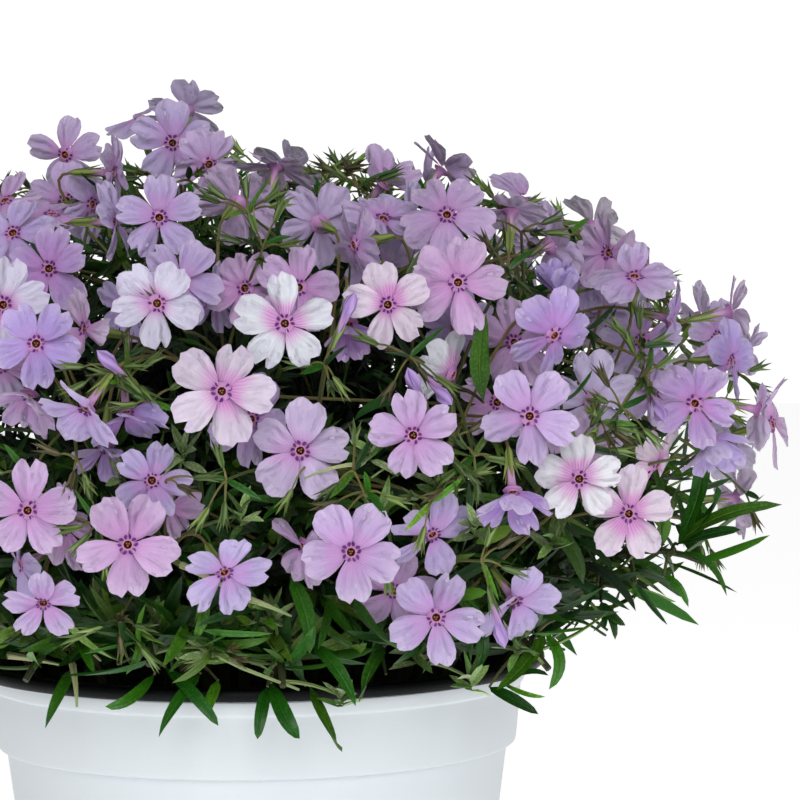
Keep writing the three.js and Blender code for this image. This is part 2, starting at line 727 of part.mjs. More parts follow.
function partsTouch(one, other) {
  return one.parts.some((a) => other.parts.some((b) => !a.intersect(b).isEmpty()));
}

const pots = [
  { name: "cover_pot", solid: coverPot() },
  { name: "grower_pot", solid: growerPot() },
  { name: "potting_mix", solid: pottingMix(joined(shoots.map(stemHole))) },
];

const groups = groupsOf(shoots);

// A leaf is kept where it stands clear of everything but its own stem and its partner.
const isClear = (leaf, solids) => solids.every((solid) => leaf.intersect(solid).isEmpty());
shoots.forEach((shoot, s) => {
  const elsewhere = shoots.filter((other) => other !== shoot).flatMap((other) => other.parts);
  const potSolids = pots.map((pot) => pot.solid);
  shoot.habit.pairs.forEach((t, k) => {
    const around = [...elsewhere, ...potSolids, ...shoot.parts.slice(1)];
    shoot.parts.push(...leafPair(shoot, t, k, 40 * s + k).filter((leaf) => isClear(leaf, around)));
  });
});

// ---- The finished group ----

const material = (color, roughness) =>
  new THREE.MeshStandardMaterial({ color, roughness, metalness: 0, flatShading: true });
const MATERIALS = {
  cover_pot: material(0xe4e8ee, 0.45),
  grower_pot: material(0x17181a, 0.5),
  potting_mix: material(0x2c211a, 0.95),
  flowering_shoot: material(0xc3a0dc, 0.6),
  leafy_shoot: material(0x3f6b2c, 0.55),
};

const plant = new THREE.Group();
plant.name = "potted_creeping_phlox";
for (const { name, solid } of pots) plant.add(meshOf(name, solid, MATERIALS[name]));
for (const group of groups) {
  const [{ habit }] = group;
  const numbers = group.map((shoot) => String(shoot.number).padStart(2, "0")).join("_");
  const solid = joined(group.flatMap((shoot) => shoot.parts));
  plant.add(meshOf(`${habit.name}_${numbers}`, solid, MATERIALS[habit.name]));
}

export default plant;
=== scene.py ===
# %% [markdown]
# # A creeping phlox in its pot
#
# Creeping phlox makes a dome of thin woody stems. Each stem carries small stiff leaves in crossed pairs and
# ends in a loose spray of flowers. A flower is five notched petals on a narrow tube, and the tube stands in
# a striped green calyx. The plant grows in potting mix in a thin black pot, which stands in a white one.
#
# Everything here is worked out with numpy as whole arrays. A petal, a leaf or a stem is a formula on a small
# grid, evaluated for all its copies at once, and only the finished arrays go into Blender meshes.

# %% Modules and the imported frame
import math

import bpy
import numpy as np
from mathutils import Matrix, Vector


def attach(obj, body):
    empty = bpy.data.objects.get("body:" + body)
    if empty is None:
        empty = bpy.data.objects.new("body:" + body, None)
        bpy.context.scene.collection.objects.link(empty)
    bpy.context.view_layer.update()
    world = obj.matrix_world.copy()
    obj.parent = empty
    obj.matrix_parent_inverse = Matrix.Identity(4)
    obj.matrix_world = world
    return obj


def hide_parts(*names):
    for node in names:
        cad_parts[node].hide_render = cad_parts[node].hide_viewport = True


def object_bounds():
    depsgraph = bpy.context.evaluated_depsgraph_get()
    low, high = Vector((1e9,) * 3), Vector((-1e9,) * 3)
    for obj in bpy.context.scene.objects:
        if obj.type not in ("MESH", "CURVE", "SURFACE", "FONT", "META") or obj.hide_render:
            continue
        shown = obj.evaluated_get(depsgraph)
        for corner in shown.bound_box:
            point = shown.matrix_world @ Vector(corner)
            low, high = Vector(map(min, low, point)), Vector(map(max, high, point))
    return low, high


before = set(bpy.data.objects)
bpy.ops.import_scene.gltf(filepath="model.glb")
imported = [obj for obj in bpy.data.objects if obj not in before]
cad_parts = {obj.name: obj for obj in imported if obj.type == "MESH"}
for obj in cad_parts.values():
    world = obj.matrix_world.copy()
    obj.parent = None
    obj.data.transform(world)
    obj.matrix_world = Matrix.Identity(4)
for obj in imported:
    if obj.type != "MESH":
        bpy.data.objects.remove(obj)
cad_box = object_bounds()
print("frame:", len(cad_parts), "nodes, corners", [round(v, 4) for corner in cad_box for v in corner])

# %% [markdown]
# ## Units and small vector helpers
#
# Lengths are in millimetres, as a gardener or a pot maker would measure, and become metres only when a mesh
# is made. The helpers work on arrays of any number of vectors, with x, y and z in the last axis. Nothing is
# drawn from a random generator: a draw is worked out from the number of the leaf or petal that it is for, so
# every run gives the same plant.

# %% Vector helpers
MM = 0.001
box_low, box_high = (np.array(corner) / MM for corner in cad_box)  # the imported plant's box
UP = np.array([0.0, 0.0, 1.0])
GOLDEN_ANGLE = math.pi * (3 - math.sqrt(5))


def unit(v):
    """Each vector divided by its own length."""
    return v / np.maximum(np.linalg.norm(v, axis=-1, keepdims=True), 1e-12)


def dot(a, b):
    """Dot products along the last axis, kept as a column so that they scale vectors."""
    return np.sum(a * b, axis=-1, keepdims=True)


def square_to(v, axis):
    """What is left of v once its part along the axis is taken off, at unit length."""
    return unit(v - dot(v, axis) * axis)


def polar(radius, angle, z):
    """Points at a radius and an angle round the Z axis, at height z."""
    return np.stack(np.broadcast_arrays(radius * np.cos(angle), radius * np.sin(angle), z), axis=-1)


def draw(i, k, low, high):
    """A repeatable number between low and high for thing i and use k: the fraction of a large sine."""
    wave = np.sin(i * 12.9898 + k * 78.233) * 43758.5453
    return low + (high - low) * (wave - np.floor(wave))


def bezier(a, b, c, t):
    """Points at shares t of curves with one control point: (1-t)² a + 2t(1-t) b + t² c."""
    t = np.asarray(t)[..., None]
    return (1 - t) ** 2 * a + 2 * t * (1 - t) * b + t**2 * c


def srgb(code):
    """A colour written as on a screen, such as "#c8a8d8", as linear light."""
    screen = np.array([int(code[i : i + 2], 16) for i in (1, 3, 5)]) / 255
    return np.where(screen < 0.04045, screen / 12.92, ((screen + 0.055) / 1.055) ** 2.4)


def palette(*codes):
    """Several such colours, one in each row."""
    return np.array([srgb(code) for code in codes])


print("packed box in mm:", box_low.round(1).tolist(), box_high.round(1).tolist())


# %% [markdown]
# ## Camera
#
# The plant is looked at from a metre away, from just above its middle, with a long lens. A long lens keeps
# the dome from swelling in the middle. A camera or a lamp looks along its own -Z axis, so aiming it takes a
# tilt away from straight down and a turn about the vertical.

# %% Camera
EYE_PLACE = (0.0, -1.0, 0.281)
LOOK_AT = (0.0418, 0.0, 0.226)
LENS = 159.5
CAMERA_ROLL = math.radians(0.5)


def aim(thing, place, target, roll=0.0):
    """Puts a lamp or the camera at a place and turns its -Z axis to the target."""
    thing.location = place
    way = np.array(target) - np.array(place)
    level = math.hypot(way[0], way[1])
    thing.rotation_euler = (math.atan2(level, -way[2]), roll, math.atan2(-way[0], way[1]))
    bpy.context.scene.collection.objects.link(thing)
    return thing


view = bpy.data.cameras.new("view")
view.lens = LENS
camera = aim(bpy.data.objects.new("view", view), EYE_PLACE, LOOK_AT, CAMERA_ROLL)
bpy.context.scene.camera = camera
print("camera:", tuple(round(v, 4) for v in camera.location))

# %% [markdown]
# ## A short way to write materials
#
# A procedural material is arithmetic on a few inputs: where a point lies on the petal, how far along the
# leaf, some noise. Drawn as a node tree that arithmetic is hard to read, so a small class wraps a socket and
# lets the usual operators add the Math nodes. Every other node comes from one method.

# %% Materials as arithmetic
CHART = "chart"  # the UV map that every surface of this plant carries
BLEND_SHARE, BLEND_LOW, BLEND_HIGH, BLEND_OUT = 0, 6, 7, 2  # numbers of a colour Mix node's sockets


class Wire:
    """An output socket that can be added, subtracted, multiplied, divided and raised to a power."""

    def __init__(self, paint, socket):
        self.paint, self.socket = paint, socket

    def math(self, operation, first, second=0.0):
        """One Math node on two wires or numbers."""
        return self.paint.node("ShaderNodeMath", {"operation": operation}, {0: first, 1: second})

    def __add__(self, other):
        return self.math("ADD", self, other)

    def __sub__(self, other):
        return self.math("SUBTRACT", self, other)

    def __rsub__(self, other):
        return self.math("SUBTRACT", other, self)

    def __mul__(self, other):
        return self.math("MULTIPLY", self, other)

    def __truediv__(self, other):
        return self.math("DIVIDE", self, other)

    def __rtruediv__(self, other):
        return self.math("DIVIDE", other, self)

    def __pow__(self, other):
        return self.math("POWER", self, other)

    __radd__, __rmul__ = __add__, __mul__

    def sine(self):
        """The sine of an angle in radians."""
        return self.math("SINE", self)

    def size(self):
        """The value without its sign."""
        return self.math("ABSOLUTE", self)

    def rise(self, low, high):
        """0 below low, 1 above high and an even S between them; with low above high it falls instead."""
        span = {"Value": self, "From Min": low, "From Max": high}
        return self.paint.node("ShaderNodeMapRange", {"interpolation_type": "SMOOTHSTEP"}, span)


class Paint:
    """A new material, the nodes added to it, and its Principled shader."""

    def __init__(self, title, **constants):
        self.material = bpy.data.materials.new(title)
        self.material.use_nodes = True
        self.tree = self.material.node_tree
        self.shader = self.tree.nodes["Principled BSDF"]
        for name, value in constants.items():
            socket = name.replace("_", " ").title().replace("Ior", "IOR")
            self.shader.inputs[socket].default_value = value

    def node(self, kind, settings=None, inputs=None, output=0):
        """Adds a node of a type, sets its settings, then gives its sockets their values or links."""
        node = self.tree.nodes.new(kind)
        for name, value in (settings or {}).items():
            setattr(node, name, value)
        for key, value in (inputs or {}).items():
            self.feed(node.inputs[key], value)
        return Wire(self, node.outputs[output])

    def feed(self, socket, value):
        """Links a wire to a socket, or sets a plain value or colour on it."""
        if isinstance(value, Wire):
            self.tree.links.new(value.socket, socket)
        elif socket.type == "RGBA":
            socket.default_value = (*value, 1.0)
        else:
            socket.default_value = value

    def blend(self, share, low, high):
        """The colour low where share is 0 and high where it is 1."""
        settings = {"data_type": "RGBA", "clamp_factor": True}
        values = {BLEND_SHARE: share, BLEND_LOW: low, BLEND_HIGH: high}
        return self.node("ShaderNodeMix", settings, values, output=BLEND_OUT)

    def tinted(self, colour, red, green, blue):
        """A colour with its red, green and blue each multiplied by a factor."""
        factors = {0: colour, 1: (red, green, blue)}
        return self.node("ShaderNodeVectorMath", {"operation": "MULTIPLY"}, factors)

    def own(self, name, output="Color"):
        """What a piece's attribute of that name holds: its colour, or its alpha."""
        return self.node("ShaderNodeAttribute", {"attribute_name": name}, output=output)

    def chart(self):
        """The two shares of the surface's own chart: across or around it, and along it."""
        place = self.node("ShaderNodeUVMap", {"uv_map": CHART})
        split = self.node("ShaderNodeSeparateXYZ", inputs={0: place})
        return split, Wire(self, split.socket.node.outputs[1])

    def noise(self, scale, detail=3.0, roughness=0.5):
        """Soft noise from 0 to 1 with that many waves a metre, on the object's own coordinates."""
        place = self.node("ShaderNodeTexCoord", output="Object")
        values = {"Vector": place, "Scale": scale, "Detail": detail, "Roughness": roughness}
        return self.node("ShaderNodeTexNoise", inputs=values)

    def finish(self, colour=None, roughness=None, bump=None, height=0.0):
        """Feeds the shader. Height is the bump's full depth in metres."""
        for name, value in (("Base Color", colour), ("Roughness", roughness)):
            if value is not None:
                self.feed(self.shader.inputs[name], value)
        if bump is not None:
            values = {"Height": bump, "Distance": height, "Strength": 1.0}
            self.feed(self.shader.inputs["Normal"], self.node("ShaderNodeBump", inputs=values))
        print("material:", self.material.name, "with", len(self.tree.nodes), "nodes")
        return self.material

# %% [markdown]
# ## Skins: one surface, many copies
#
# A plant is the same few surfaces over and over. A skin holds every copy of one surface in one array: copies
# by points by x, y, z. The faces are written once, as point numbers of a single copy, and shifted for the
# rest. Each copy also knows its colour and the shoot that it grows on, so that a whole shoot can be gathered
# from all skins at once.

# %% Faces of a spindle and of a leaf-thin sheet
def spindle_faces(rings, sides):
    """Faces of a closed skin: a first point, rings of so many sides, a last point. Also its chart.

    Corners run round each face. The chart is (share round, share along), written per corner so that the seam
    closes without a jump.
    """
    ring, side = np.meshgrid(np.arange(rings - 1), np.arange(sides), indexing="ij")
    here = 1 + ring * sides + side
    after = 1 + ring * sides + (side + 1) % sides
    quads = np.stack([here, after, after + sides, here + sides], axis=-1).reshape(-1)
    around = np.stack([side, side + 1, side + 1, side], axis=-1).reshape(-1) / sides
    along = np.stack([ring, ring, ring + 1, ring + 1], axis=-1).reshape(-1) + 1
    side = np.arange(sides)
    last = 1 + (rings - 1) * sides
    start = np.stack([0 * side, 1 + (side + 1) % sides, 1 + side], axis=-1).reshape(-1)
    end = np.stack([last + side, last + (side + 1) % sides, 0 * side + last + sides], axis=-1).reshape(-1)
    start_around = np.stack([side + 0.5, side + 1, side], axis=-1).reshape(-1) / sides
    end_around = np.stack([side, side + 1, side + 0.5], axis=-1).reshape(-1) / sides
    corners = np.concatenate([quads, start, end])
    sizes = np.concatenate([np.full(quads.size // 4, 4), np.full(2 * sides, 3)])
    start_along = np.tile([0, 1, 1], sides)
    end_along = np.tile([rings, rings, rings + 1], sides)
    along = np.concatenate([along, start_along, end_along]) / (rings + 1)
    around = np.concatenate([around, start_around, end_around])
    return corners, sizes, np.stack([around, along], axis=-1)


def grid_cells(grid, turn):
    """The corner numbers of every cell of a grid, each cell's four taken in the given turn."""
    rows, columns = grid.shape
    corners = [grid[i : i + rows - 1, j : j + columns - 1] for i, j in turn]
    return np.stack(corners, axis=-1).reshape(-1)


def sheet_faces(rows, columns, chart):
    """Faces of a thin closed sheet: a grid for the front, and a second one behind that shares its rim.

    Points are the front grid row by row, then the back grid's inner points. Returns the corners, the sizes,
    the chart of each corner and a 0 for front faces or 1 for back ones.
    """
    front = np.arange(rows * columns).reshape(rows, columns)
    back = front.copy()
    inner = np.arange((rows - 2) * (columns - 2)).reshape(rows - 2, columns - 2)
    back[1:-1, 1:-1] = rows * columns + inner
    around = [(0, 0), (0, 1), (1, 1), (1, 0)]
    corners = np.concatenate([grid_cells(front, around), grid_cells(back, around[::-1])])
    chart_corners = np.concatenate([grid_cells(front, around), grid_cells(front, around[::-1])])
    count = (rows - 1) * (columns - 1)
    return corners, np.full(2 * count, 4), chart.reshape(-1, 2)[chart_corners], np.repeat([0, 1], count)


STRAIGHT = 0.02  # a path is straight if its middle lies off its chord by less than this share of it


def ring_frames(paths):
    """Two directions square to each path at each of its points, untwisted.

    The first one is the normal of the plane that the path bends in, which suits any path that bends one way.
    """
    heading = unit(np.gradient(paths, axis=1))
    first, last, middle = paths[:, 0], paths[:, -1], paths[:, paths.shape[1] // 2]
    normal = np.cross(middle - first, last - middle)
    chord = unit(last - first)
    fallback = np.cross(chord, np.where(np.abs(chord[:, 2:]) < 0.9, UP, [1.0, 0.0, 0.0]))
    span = np.linalg.norm(last - first, axis=-1, keepdims=True)
    straight = np.linalg.norm(normal, axis=-1, keepdims=True) < STRAIGHT * span**2
    side = square_to(np.where(straight, fallback, normal)[:, None], heading)
    return side, np.cross(heading, side)


def swept(paths, radii, sides):
    """Closed tubes along many paths: each ring is the path's point plus radius (cos a side + sin a across).

    Paths are copies by points by 3, and radii are copies by points. The ends close on the path itself.
    """
    side, across = ring_frames(paths)
    angle = 2 * np.pi * np.arange(sides) / sides
    circle = np.cos(angle)[:, None] * side[:, :, None] + np.sin(angle)[:, None] * across[:, :, None]
    rings = paths[:, :, None] + radii[:, :, None, None] * circle
    body = rings.reshape(len(paths), -1, 3)
    return np.concatenate([paths[:, :1], body, paths[:, -1:]], axis=1)


# %% A skin, and a piece made of several
class Skin:
    """All copies of one surface: points, faces, the paint of each face, and each copy's tint and shoot."""

    def __init__(self, paints, points, faces, tint, shoot, extra=1.0):
        self.paints = paints  # names of the materials that the faces' numbers choose from
        self.points = points
        self.corners, self.sizes, self.chart = faces[:3]
        self.choice = faces[3] if len(faces) > 3 else np.zeros(len(self.sizes), int)
        self.tint = np.concatenate(
            [np.broadcast_to(tint, (len(points), 3)), np.broadcast_to(extra, (len(points), 1))], axis=1
        )
        self.shoot = np.broadcast_to(shoot, len(points))


def spindles(paint, points, sides, tint, shoot):
    """A skin of closed shapes whose points are a first one, rings of so many sides, and a last one."""
    return Skin([paint], points, spindle_faces((points.shape[1] - 2) // sides, sides), tint, shoot)


def gathered(skins, shoots, used):
    """The skins' copies that grow on the given shoots, joined end to end into the arrays of one mesh."""
    parts = {key: [] for key in ("points", "corners", "sizes", "chart", "choice", "tint")}
    start = 0
    for skin in skins:
        pick = np.isin(skin.shoot, shoots)
        copies, each = int(pick.sum()), skin.points.shape[1]
        if copies == 0:
            continue
        numbers = np.array([used.index(paint) for paint in skin.paints])
        shift = start + each * np.arange(copies)[:, None]
        parts["points"].append(skin.points[pick].reshape(-1, 3) * MM)
        parts["corners"].append((skin.corners + shift).reshape(-1))
        parts["sizes"].append(np.tile(skin.sizes, copies))
        parts["chart"].append(np.tile(skin.chart, (copies, 1)))
        parts["choice"].append(np.tile(numbers[skin.choice], copies))
        parts["tint"].append(np.repeat(skin.tint[pick], each, axis=0))
        start += copies * each
    return {key: np.concatenate(value) for key, value in parts.items()}


def mesh_from(name, whole):
    """A mesh from its arrays, with the chart of each corner and the tint of each point."""
    mesh = bpy.data.meshes.new(name)
    mesh.vertices.add(len(whole["points"]))
    mesh.loops.add(len(whole["corners"]))
    mesh.polygons.add(len(whole["sizes"]))
    mesh.vertices.foreach_set("co", whole["points"].astype(np.float32).ravel())
    mesh.loops.foreach_set("vertex_index", whole["corners"].astype(np.int32))
    starts = np.concatenate([[0], np.cumsum(whole["sizes"])[:-1]])
    mesh.polygons.foreach_set("loop_start", starts.astype(np.int32))
    mesh.polygons.foreach_set("material_index", whole["choice"].astype(np.int32))
    mesh.polygons.foreach_set("use_smooth", np.ones(len(starts), bool))
    mesh.uv_layers.new(name=CHART).data.foreach_set("uv", whole["chart"].astype(np.float32).ravel())
    tint = mesh.color_attributes.new(name="tint", type="FLOAT_COLOR", domain="POINT")
    tint.data.foreach_set("color", whole["tint"].astype(np.float32).ravel())
    mesh.update(calc_edges=True)
    return mesh


def build(name, skins, shoots, paints, sharp=60.0):
    """One object from the skins' copies on the given shoots, smooth but for edges above the sharp angle."""
    used = sorted({paint for skin in skins for paint in skin.paints})
    mesh = mesh_from(name, gathered(skins, shoots, used))
    mesh.set_sharp_from_angle(angle=math.radians(sharp))
    for paint in used:
        mesh.materials.append(paints[paint])
    made = bpy.data.objects.new(name, mesh)
    bpy.context.scene.collection.objects.link(made)
    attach(made, "root")
    return made


# %% [markdown]
# ## Where the shoots and flowers stand
#
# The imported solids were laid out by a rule: flowers lie on a dome, each is set back until its petals clear
# the ones already there, and each grows from the nearest free place on a stem that its stalk can reach. The
# same rule is followed here, so that the fine petals and leaves take the places of the plain ones.

# %% Sizes of the pots, the dome and the shoots
POT_HEIGHT = 151.5
COLLAR_LOW = 130.0
RIM_RADIUS = 76.0
LIP_RADIUS = 81.6
LIP_HEIGHT = 3.6
COVER_WALL = 1.5
BODY_TOP_RADIUS = 70.8
SOIL_RADIUS = RIM_RADIUS - COVER_WALL - 4.4
SOIL_EDGE = POT_HEIGHT + LIP_HEIGHT - 9.8
SOIL_CROWN = 4.0

DOME_ACROSS, DOME_DEEP, DOME_UP, DOME_DOWN = 152.0, 130.0, 90.0, 72.0
DOME_POWER = 2.3
LEVEL = POT_HEIGHT - 5.5  # shoots and flowers are laid out up from here, a little below the rim
DOME_CENTRE = np.array([0.0, 0.0, LEVEL + 60.0])
EYE_DISTANCE = 1000.0
EYE = np.array([0.0, -EYE_DISTANCE, LEVEL + 135.0])

TUBE_LENGTH = 8.0
CALYX_BACK = 1.5 * TUBE_LENGTH  # from a flower's eye back to where its stalk begins
FLOWERING_SHOOTS = 32
FRONT_CROWDING = 0.3  # how much closer together the stems stand towards the front
FLOWERING_LOWEST = 104  # degrees from straight up to the lowest flowering stem
FLOWERING_RING, LEAFY_RING = 52.0, 62.0  # how far out the feet of the stems stand
ANCHOR_SHARES = np.array([0.96, 0.91, 0.86, 0.81, 0.76, 0.71, 0.66])  # where stalks may stand along a stem
STALK_CLEARANCE, STALK_SAMPLES = 3.4, 6
TIP_DEPTH = 0.74  # a flowering tip's share of the way out to the dome's surface
ROOT_DEPTH = 9.0
FLOWERING_STEPS, LEAFY_STEPS = 4, 5  # straight stretches of a packed stem
ROUND_PLACES, ROUND_LOWEST, ROUND_SPACING = 145, 94, 27.0  # of the flowers all round
FRONT_EDGE_Y, FRONT_EDGE_X = -42.0, -84.0  # the listed flowers lie in front and to the right of these
SETTLE_STEP, SETTLE_TRIES, PETAL_CLEARANCE = 2.1, 24, 2.7
print("dome:", 2 * DOME_ACROSS, "mm across and", 2 * DOME_DEEP, "deep, its centre", DOME_CENTRE[2], "mm up")

# %% [markdown]
# The leafy shoots and the flowers of the front are placed one by one. The front is seen
# first, and there the even spread of a rule would show as a pattern.

# %% Places listed one by one
# Leafy shoots over the lip: degrees round the pot, reach from its axis, height of the tip above LEVEL.
LEAFY_TIPS = [
    (-15, 128, 36), (-42, 104, 12), (-64, 101, 16), (-86, 96, 12), (-106, 100, 18),
    (-128, 98, 12), (-152, 108, 22), (-178, 116, 20), (155, 104, 12), (128, 110, 24),
    (101, 98, 14), (74, 106, 20), (46, 100, 12), (14, 112, 22),
]

# Flowers of the front: across and up from the axis at LEVEL, set back, turned right, tilted up, rolled,
# folded forward, diameter, and colour.
FRONT_FLOWERS = [
    # crown of the mound, left
    (-52, 150, 0, -25, -10, 0, -5, 24, "lavender"), (-22, 153, 0, 0, 0, -3, 0, 25, "lavender"),
    (-18, 162, 25, 170, 40, 0, 5, 24, "lavender"), (-31, 160, 20, -60, 75, 10, 0, 24, "lavender"),
    (-39, 145, 12, 75, 0, 20, 10, 22, "lavender"), (-26, 132, 0, 5, 15, 0, 0, 24, "lavender"),
    (-57, 118, 4, -10, 10, 0, 5, 24, "lilac"), (-61, 97, 0, 5, 5, 36, 0, 24, "lilac"),
    (-27, 108, 0, 15, 5, 36, -5, 25, "white_edged"), (-20, 114, 14, 10, 20, 30, 0, 24, "lavender"),
    (-69, 137, 16, -20, 50, 5, 0, 23, "lavender"), (-67, 128, 4, -10, 30, 15, 5, 23, "lavender"),
    (-56, 133, 8, 10, 70, 30, 0, 25, "lavender"), (-52, 137, 24, 0, 10, 0, 0, 24, "lavender"),
    (-45, 136, 18, 50, 0, 30, 0, 23, "lavender"), (-39, 131, 10, 70, 0, 0, 10, 22, "lavender"),
    (-70, 119, 16, -30, 0, 20, 0, 24, "lavender"), (-70, 108, 0, -10, 5, 10, 0, 25, "white_edged"),
    (-12, 147, 18, 20, -10, 36, 0, 22, "lavender"), (-36, 107, 22, -30, 10, 10, 0, 20, "lavender"),
    (-47, 101, 8, -60, 10, 20, 15, 22, "pale"), (-11, 110, 24, 40, 0, 20, 0, 20, "lavender"),
    # crown, middle
    (9, 102, -2, 0, 0, 0, 0, 27, "white"), (38, 107, 4, 10, 0, -15, 0, 24, "white_edged"),
    (27, 102, 8, 0, -50, 0, 60, 20, "violet"), (13, 112, 16, 0, 10, 10, 0, 24, "lavender"),
    (-2, 112, 20, -20, 10, 40, 0, 22, "lavender"), (7, 146, 10, 150, 60, 0, 0, 24, "lavender"),
    (-4, 136, 30, 160, 20, 20, 0, 26, "lavender"), (19, 130, 30, 200, 10, 40, 0, 25, "lavender"),
    (37, 141, 15, 60, 45, 20, 35, 24, "lavender"), (37, 131, 12, 20, 50, 0, 10, 23, "lavender"),
    (29, 124, 8, -60, -10, 30, -10, 25, "lavender"), (34, 120, 18, 30, 10, 10, 0, 24, "lavender"),
    (55, 132, 0, 0, 25, 36, 0, 27, "lavender"), (73, 133, 6, 170, 65, 0, 0, 24, "lavender"),
    (58, 113, 0, 0, 10, 18, 0, 27, "lavender"), (44, 130, 8, -40, 10, 10, 0, 24, "lavender"),
    (58, 101, 26, 0, -20, 0, 0, 22, "lavender"),
    # crown, right
    (84, 123, 8, 130, 10, 20, 0, 26, "lavender"), (101, 121, 10, -50, 10, 10, 20, 24, "lavender"),
    (108, 114, 4, 0, 55, 0, 0, 26, "lavender"), (118, 102, 4, 80, -15, 10, 0, 24, "lilac"),
    (135, 104, 10, 100, 10, 30, 20, 22, "lavender"), (131, 97, 14, 30, -10, 0, 0, 22, "lavender"),
    (139, 93, 16, 100, -20, 20, 10, 20, "lavender"), (86, 109, 4, 0, 70, 10, 65, 20, "violet"),
    (85, 98, 0, 30, -25, 20, 0, 26, "lilac"), (74, 96, 10, -30, -10, 0, 0, 26, "lavender"),
    (94, 115, 24, 20, 0, 30, 0, 22, "lavender"), (97, 106, 34, 180, 0, 10, 0, 26, "lavender"),
    # middle of the front
    (-9, 83, -2, 0, 5, 20, 0, 28, "white_edged"), (-1, 75, 12, 35, 0, 30, 0, 25, "lavender"),
    (13, 66, 0, 0, 0, 8, 0, 27, "pale"), (-29, 58, 4, 0, 5, 20, 0, 21, "lavender"),
    (-64, 50, 2, -5, 0, 5, 0, 26, "lavender"), (-54, 45, 6, 50, 10, 20, 0, 24, "lavender"),
    (-36, 40, -2, 0, -5, 36, 0, 27, "lavender"), (27, 37, -2, 5, 5, 37, 0, 27, "lavender"),
    (14, 39, 18, -60, -25, 10, 15, 24, "lavender"), (-63, 83, 0, -30, -60, 10, 30, 23, "lavender"),
    (-47, 79, 0, -50, -45, 20, 25, 24, "lavender"), (-36, 78, 0, 10, -65, 0, 35, 25, "lilac"),
    (-42, 68, 8, -10, -65, 30, 40, 20, "lilac"), (-71, 91, 4, 0, 0, 15, 0, 24, "pale"),
    (-25, 50, 18, 20, -20, 0, 0, 20, "lavender"), (45, 70, 0, -10, 0, -10, 0, 24, "lavender"),
    (78, 75, -2, 0, 5, 36, 0, 26, "lavender"), (56, 87, 6, 60, -20, 20, -20, 26, "white"),
    (92, 57, -2, -5, 5, 0, 0, 23, "white"), (106, 47, 0, 10, 0, 5, 0, 26, "white_edged"),
    (114, 61, 4, 60, -30, 20, 0, 24, "white_edged"), (125, 78, 0, 10, 20, 30, 0, 26, "lilac"),
    (96, 79, 22, 180, 0, 0, 0, 28, "pale"), (135, 90, 4, 60, 0, 10, 0, 25, "lilac"),
    (143, 76, 0, 90, -15, 0, 15, 25, "lavender"), (129, 69, 0, 45, -60, 20, 45, 25, "lilac"),
    (92, 66, 18, 180, 30, 10, 0, 24, "lavender"), (73, 54, 0, 5, -60, 0, 45, 25, "violet"),
    (50, 42, 0, 25, -35, 10, 10, 26, "lavender"), (69, 79, 18, -20, 10, 10, 0, 22, "lavender"),
    (110, 96, 24, 0, 0, 0, 0, 24, "lavender"), (113, 81, 16, -20, 0, 20, 0, 20, "lavender"),
    # low on the front
    (-60, 24, 0, 0, -30, 0, 15, 21, "lavender"), (-9, 32, 0, 25, -30, 10, 15, 24, "lavender"),
    (39, 26, 10, 0, -20, 10, 0, 25, "lavender"), (-66, 35, 6, -70, -20, 20, 0, 22, "lavender"),
    (51, 18, -2, 5, 15, 30, 0, 26, "lavender"), (73, 23, -2, 35, -40, 0, 20, 25, "lavender"),
]
print("leafy shoots:", len(LEAFY_TIPS), "flowers of the front:", len(FRONT_FLOWERS))


# %% The dome, and lines of sight to it
def dome_share(v):
    """How far out a point given from the dome's centre lies, where 1 is on the surface.

    It is the root of the summed powers of its shares of the dome's three half axes.
    """
    upright = np.where(v[..., 2] > 0, DOME_UP, DOME_DOWN)
    size = np.stack(np.broadcast_arrays(DOME_ACROSS, DOME_DEEP, upright), axis=-1)
    return np.sum(np.abs(v / size) ** DOME_POWER, axis=-1) ** (1 / DOME_POWER)


def on_dome(direction, depth):
    """The point in a direction from the dome's centre, at a share of the way to its surface."""
    return DOME_CENTRE + direction * np.asarray(depth / dome_share(direction))[..., None]


def round_places(count, lowest):
    """Directions spread evenly from the top down to a lowest angle, one golden angle after another."""
    i = np.arange(count)
    height = 1 - (1 - math.cos(math.radians(lowest))) * (i + 0.5) / count
    return polar(np.sqrt(1 - height**2), i * GOLDEN_ANGLE, height)


def beside_axis(across, up):
    """Points in the plane of the pot's axis, across it and up from LEVEL."""
    return np.stack([across, 0 * across, LEVEL + up], axis=-1)


def seen_point(across, up, out):
    """Points on the sight lines through places beside the axis, so far out in front of it."""
    start = beside_axis(across, up)
    return start + (EYE - start) * (out / EYE_DISTANCE)[..., None]


def front_depth(across, up):
    """How far in front of the axis the dome's surface lies on a line of sight."""
    rest = 1 - dome_share(beside_axis(across, up) - DOME_CENTRE) ** DOME_POWER
    return DOME_DEEP * np.maximum(rest, 0) ** (1 / DOME_POWER)


print("the dome's front at LEVEL:", round(float(front_depth(np.array(0.0), np.array(0.0))), 1), "mm out")


# %% Flowers of the front and all round
def front_flowers():
    """Each lies on the line of sight through its place, its inset behind the dome's surface."""
    numbers = np.array([row[:8] for row in FRONT_FLOWERS], float)
    across, up, inset, turn, tilt, roll, fold, diameter = numbers.T
    turn, tilt = np.radians(turn), np.radians(tilt)
    level = np.cos(tilt)
    return {
        "centre": seen_point(across, up, front_depth(across, up) - inset),
        "inward": unit(beside_axis(across, up) - EYE),
        "facing": np.stack([level * np.sin(turn), -level * np.cos(turn), np.sin(tilt)], axis=-1),
        "roll": roll, "fold": fold, "radius": diameter / 2, "inset": inset,
        "colour": np.array([row[8] for row in FRONT_FLOWERS]),
    }


def behind_front(points):
    """True for the points outside the part of the dome whose flowers are placed by hand."""
    return (points[:, 1] > FRONT_EDGE_Y) | (points[:, 0] < FRONT_EDGE_X)


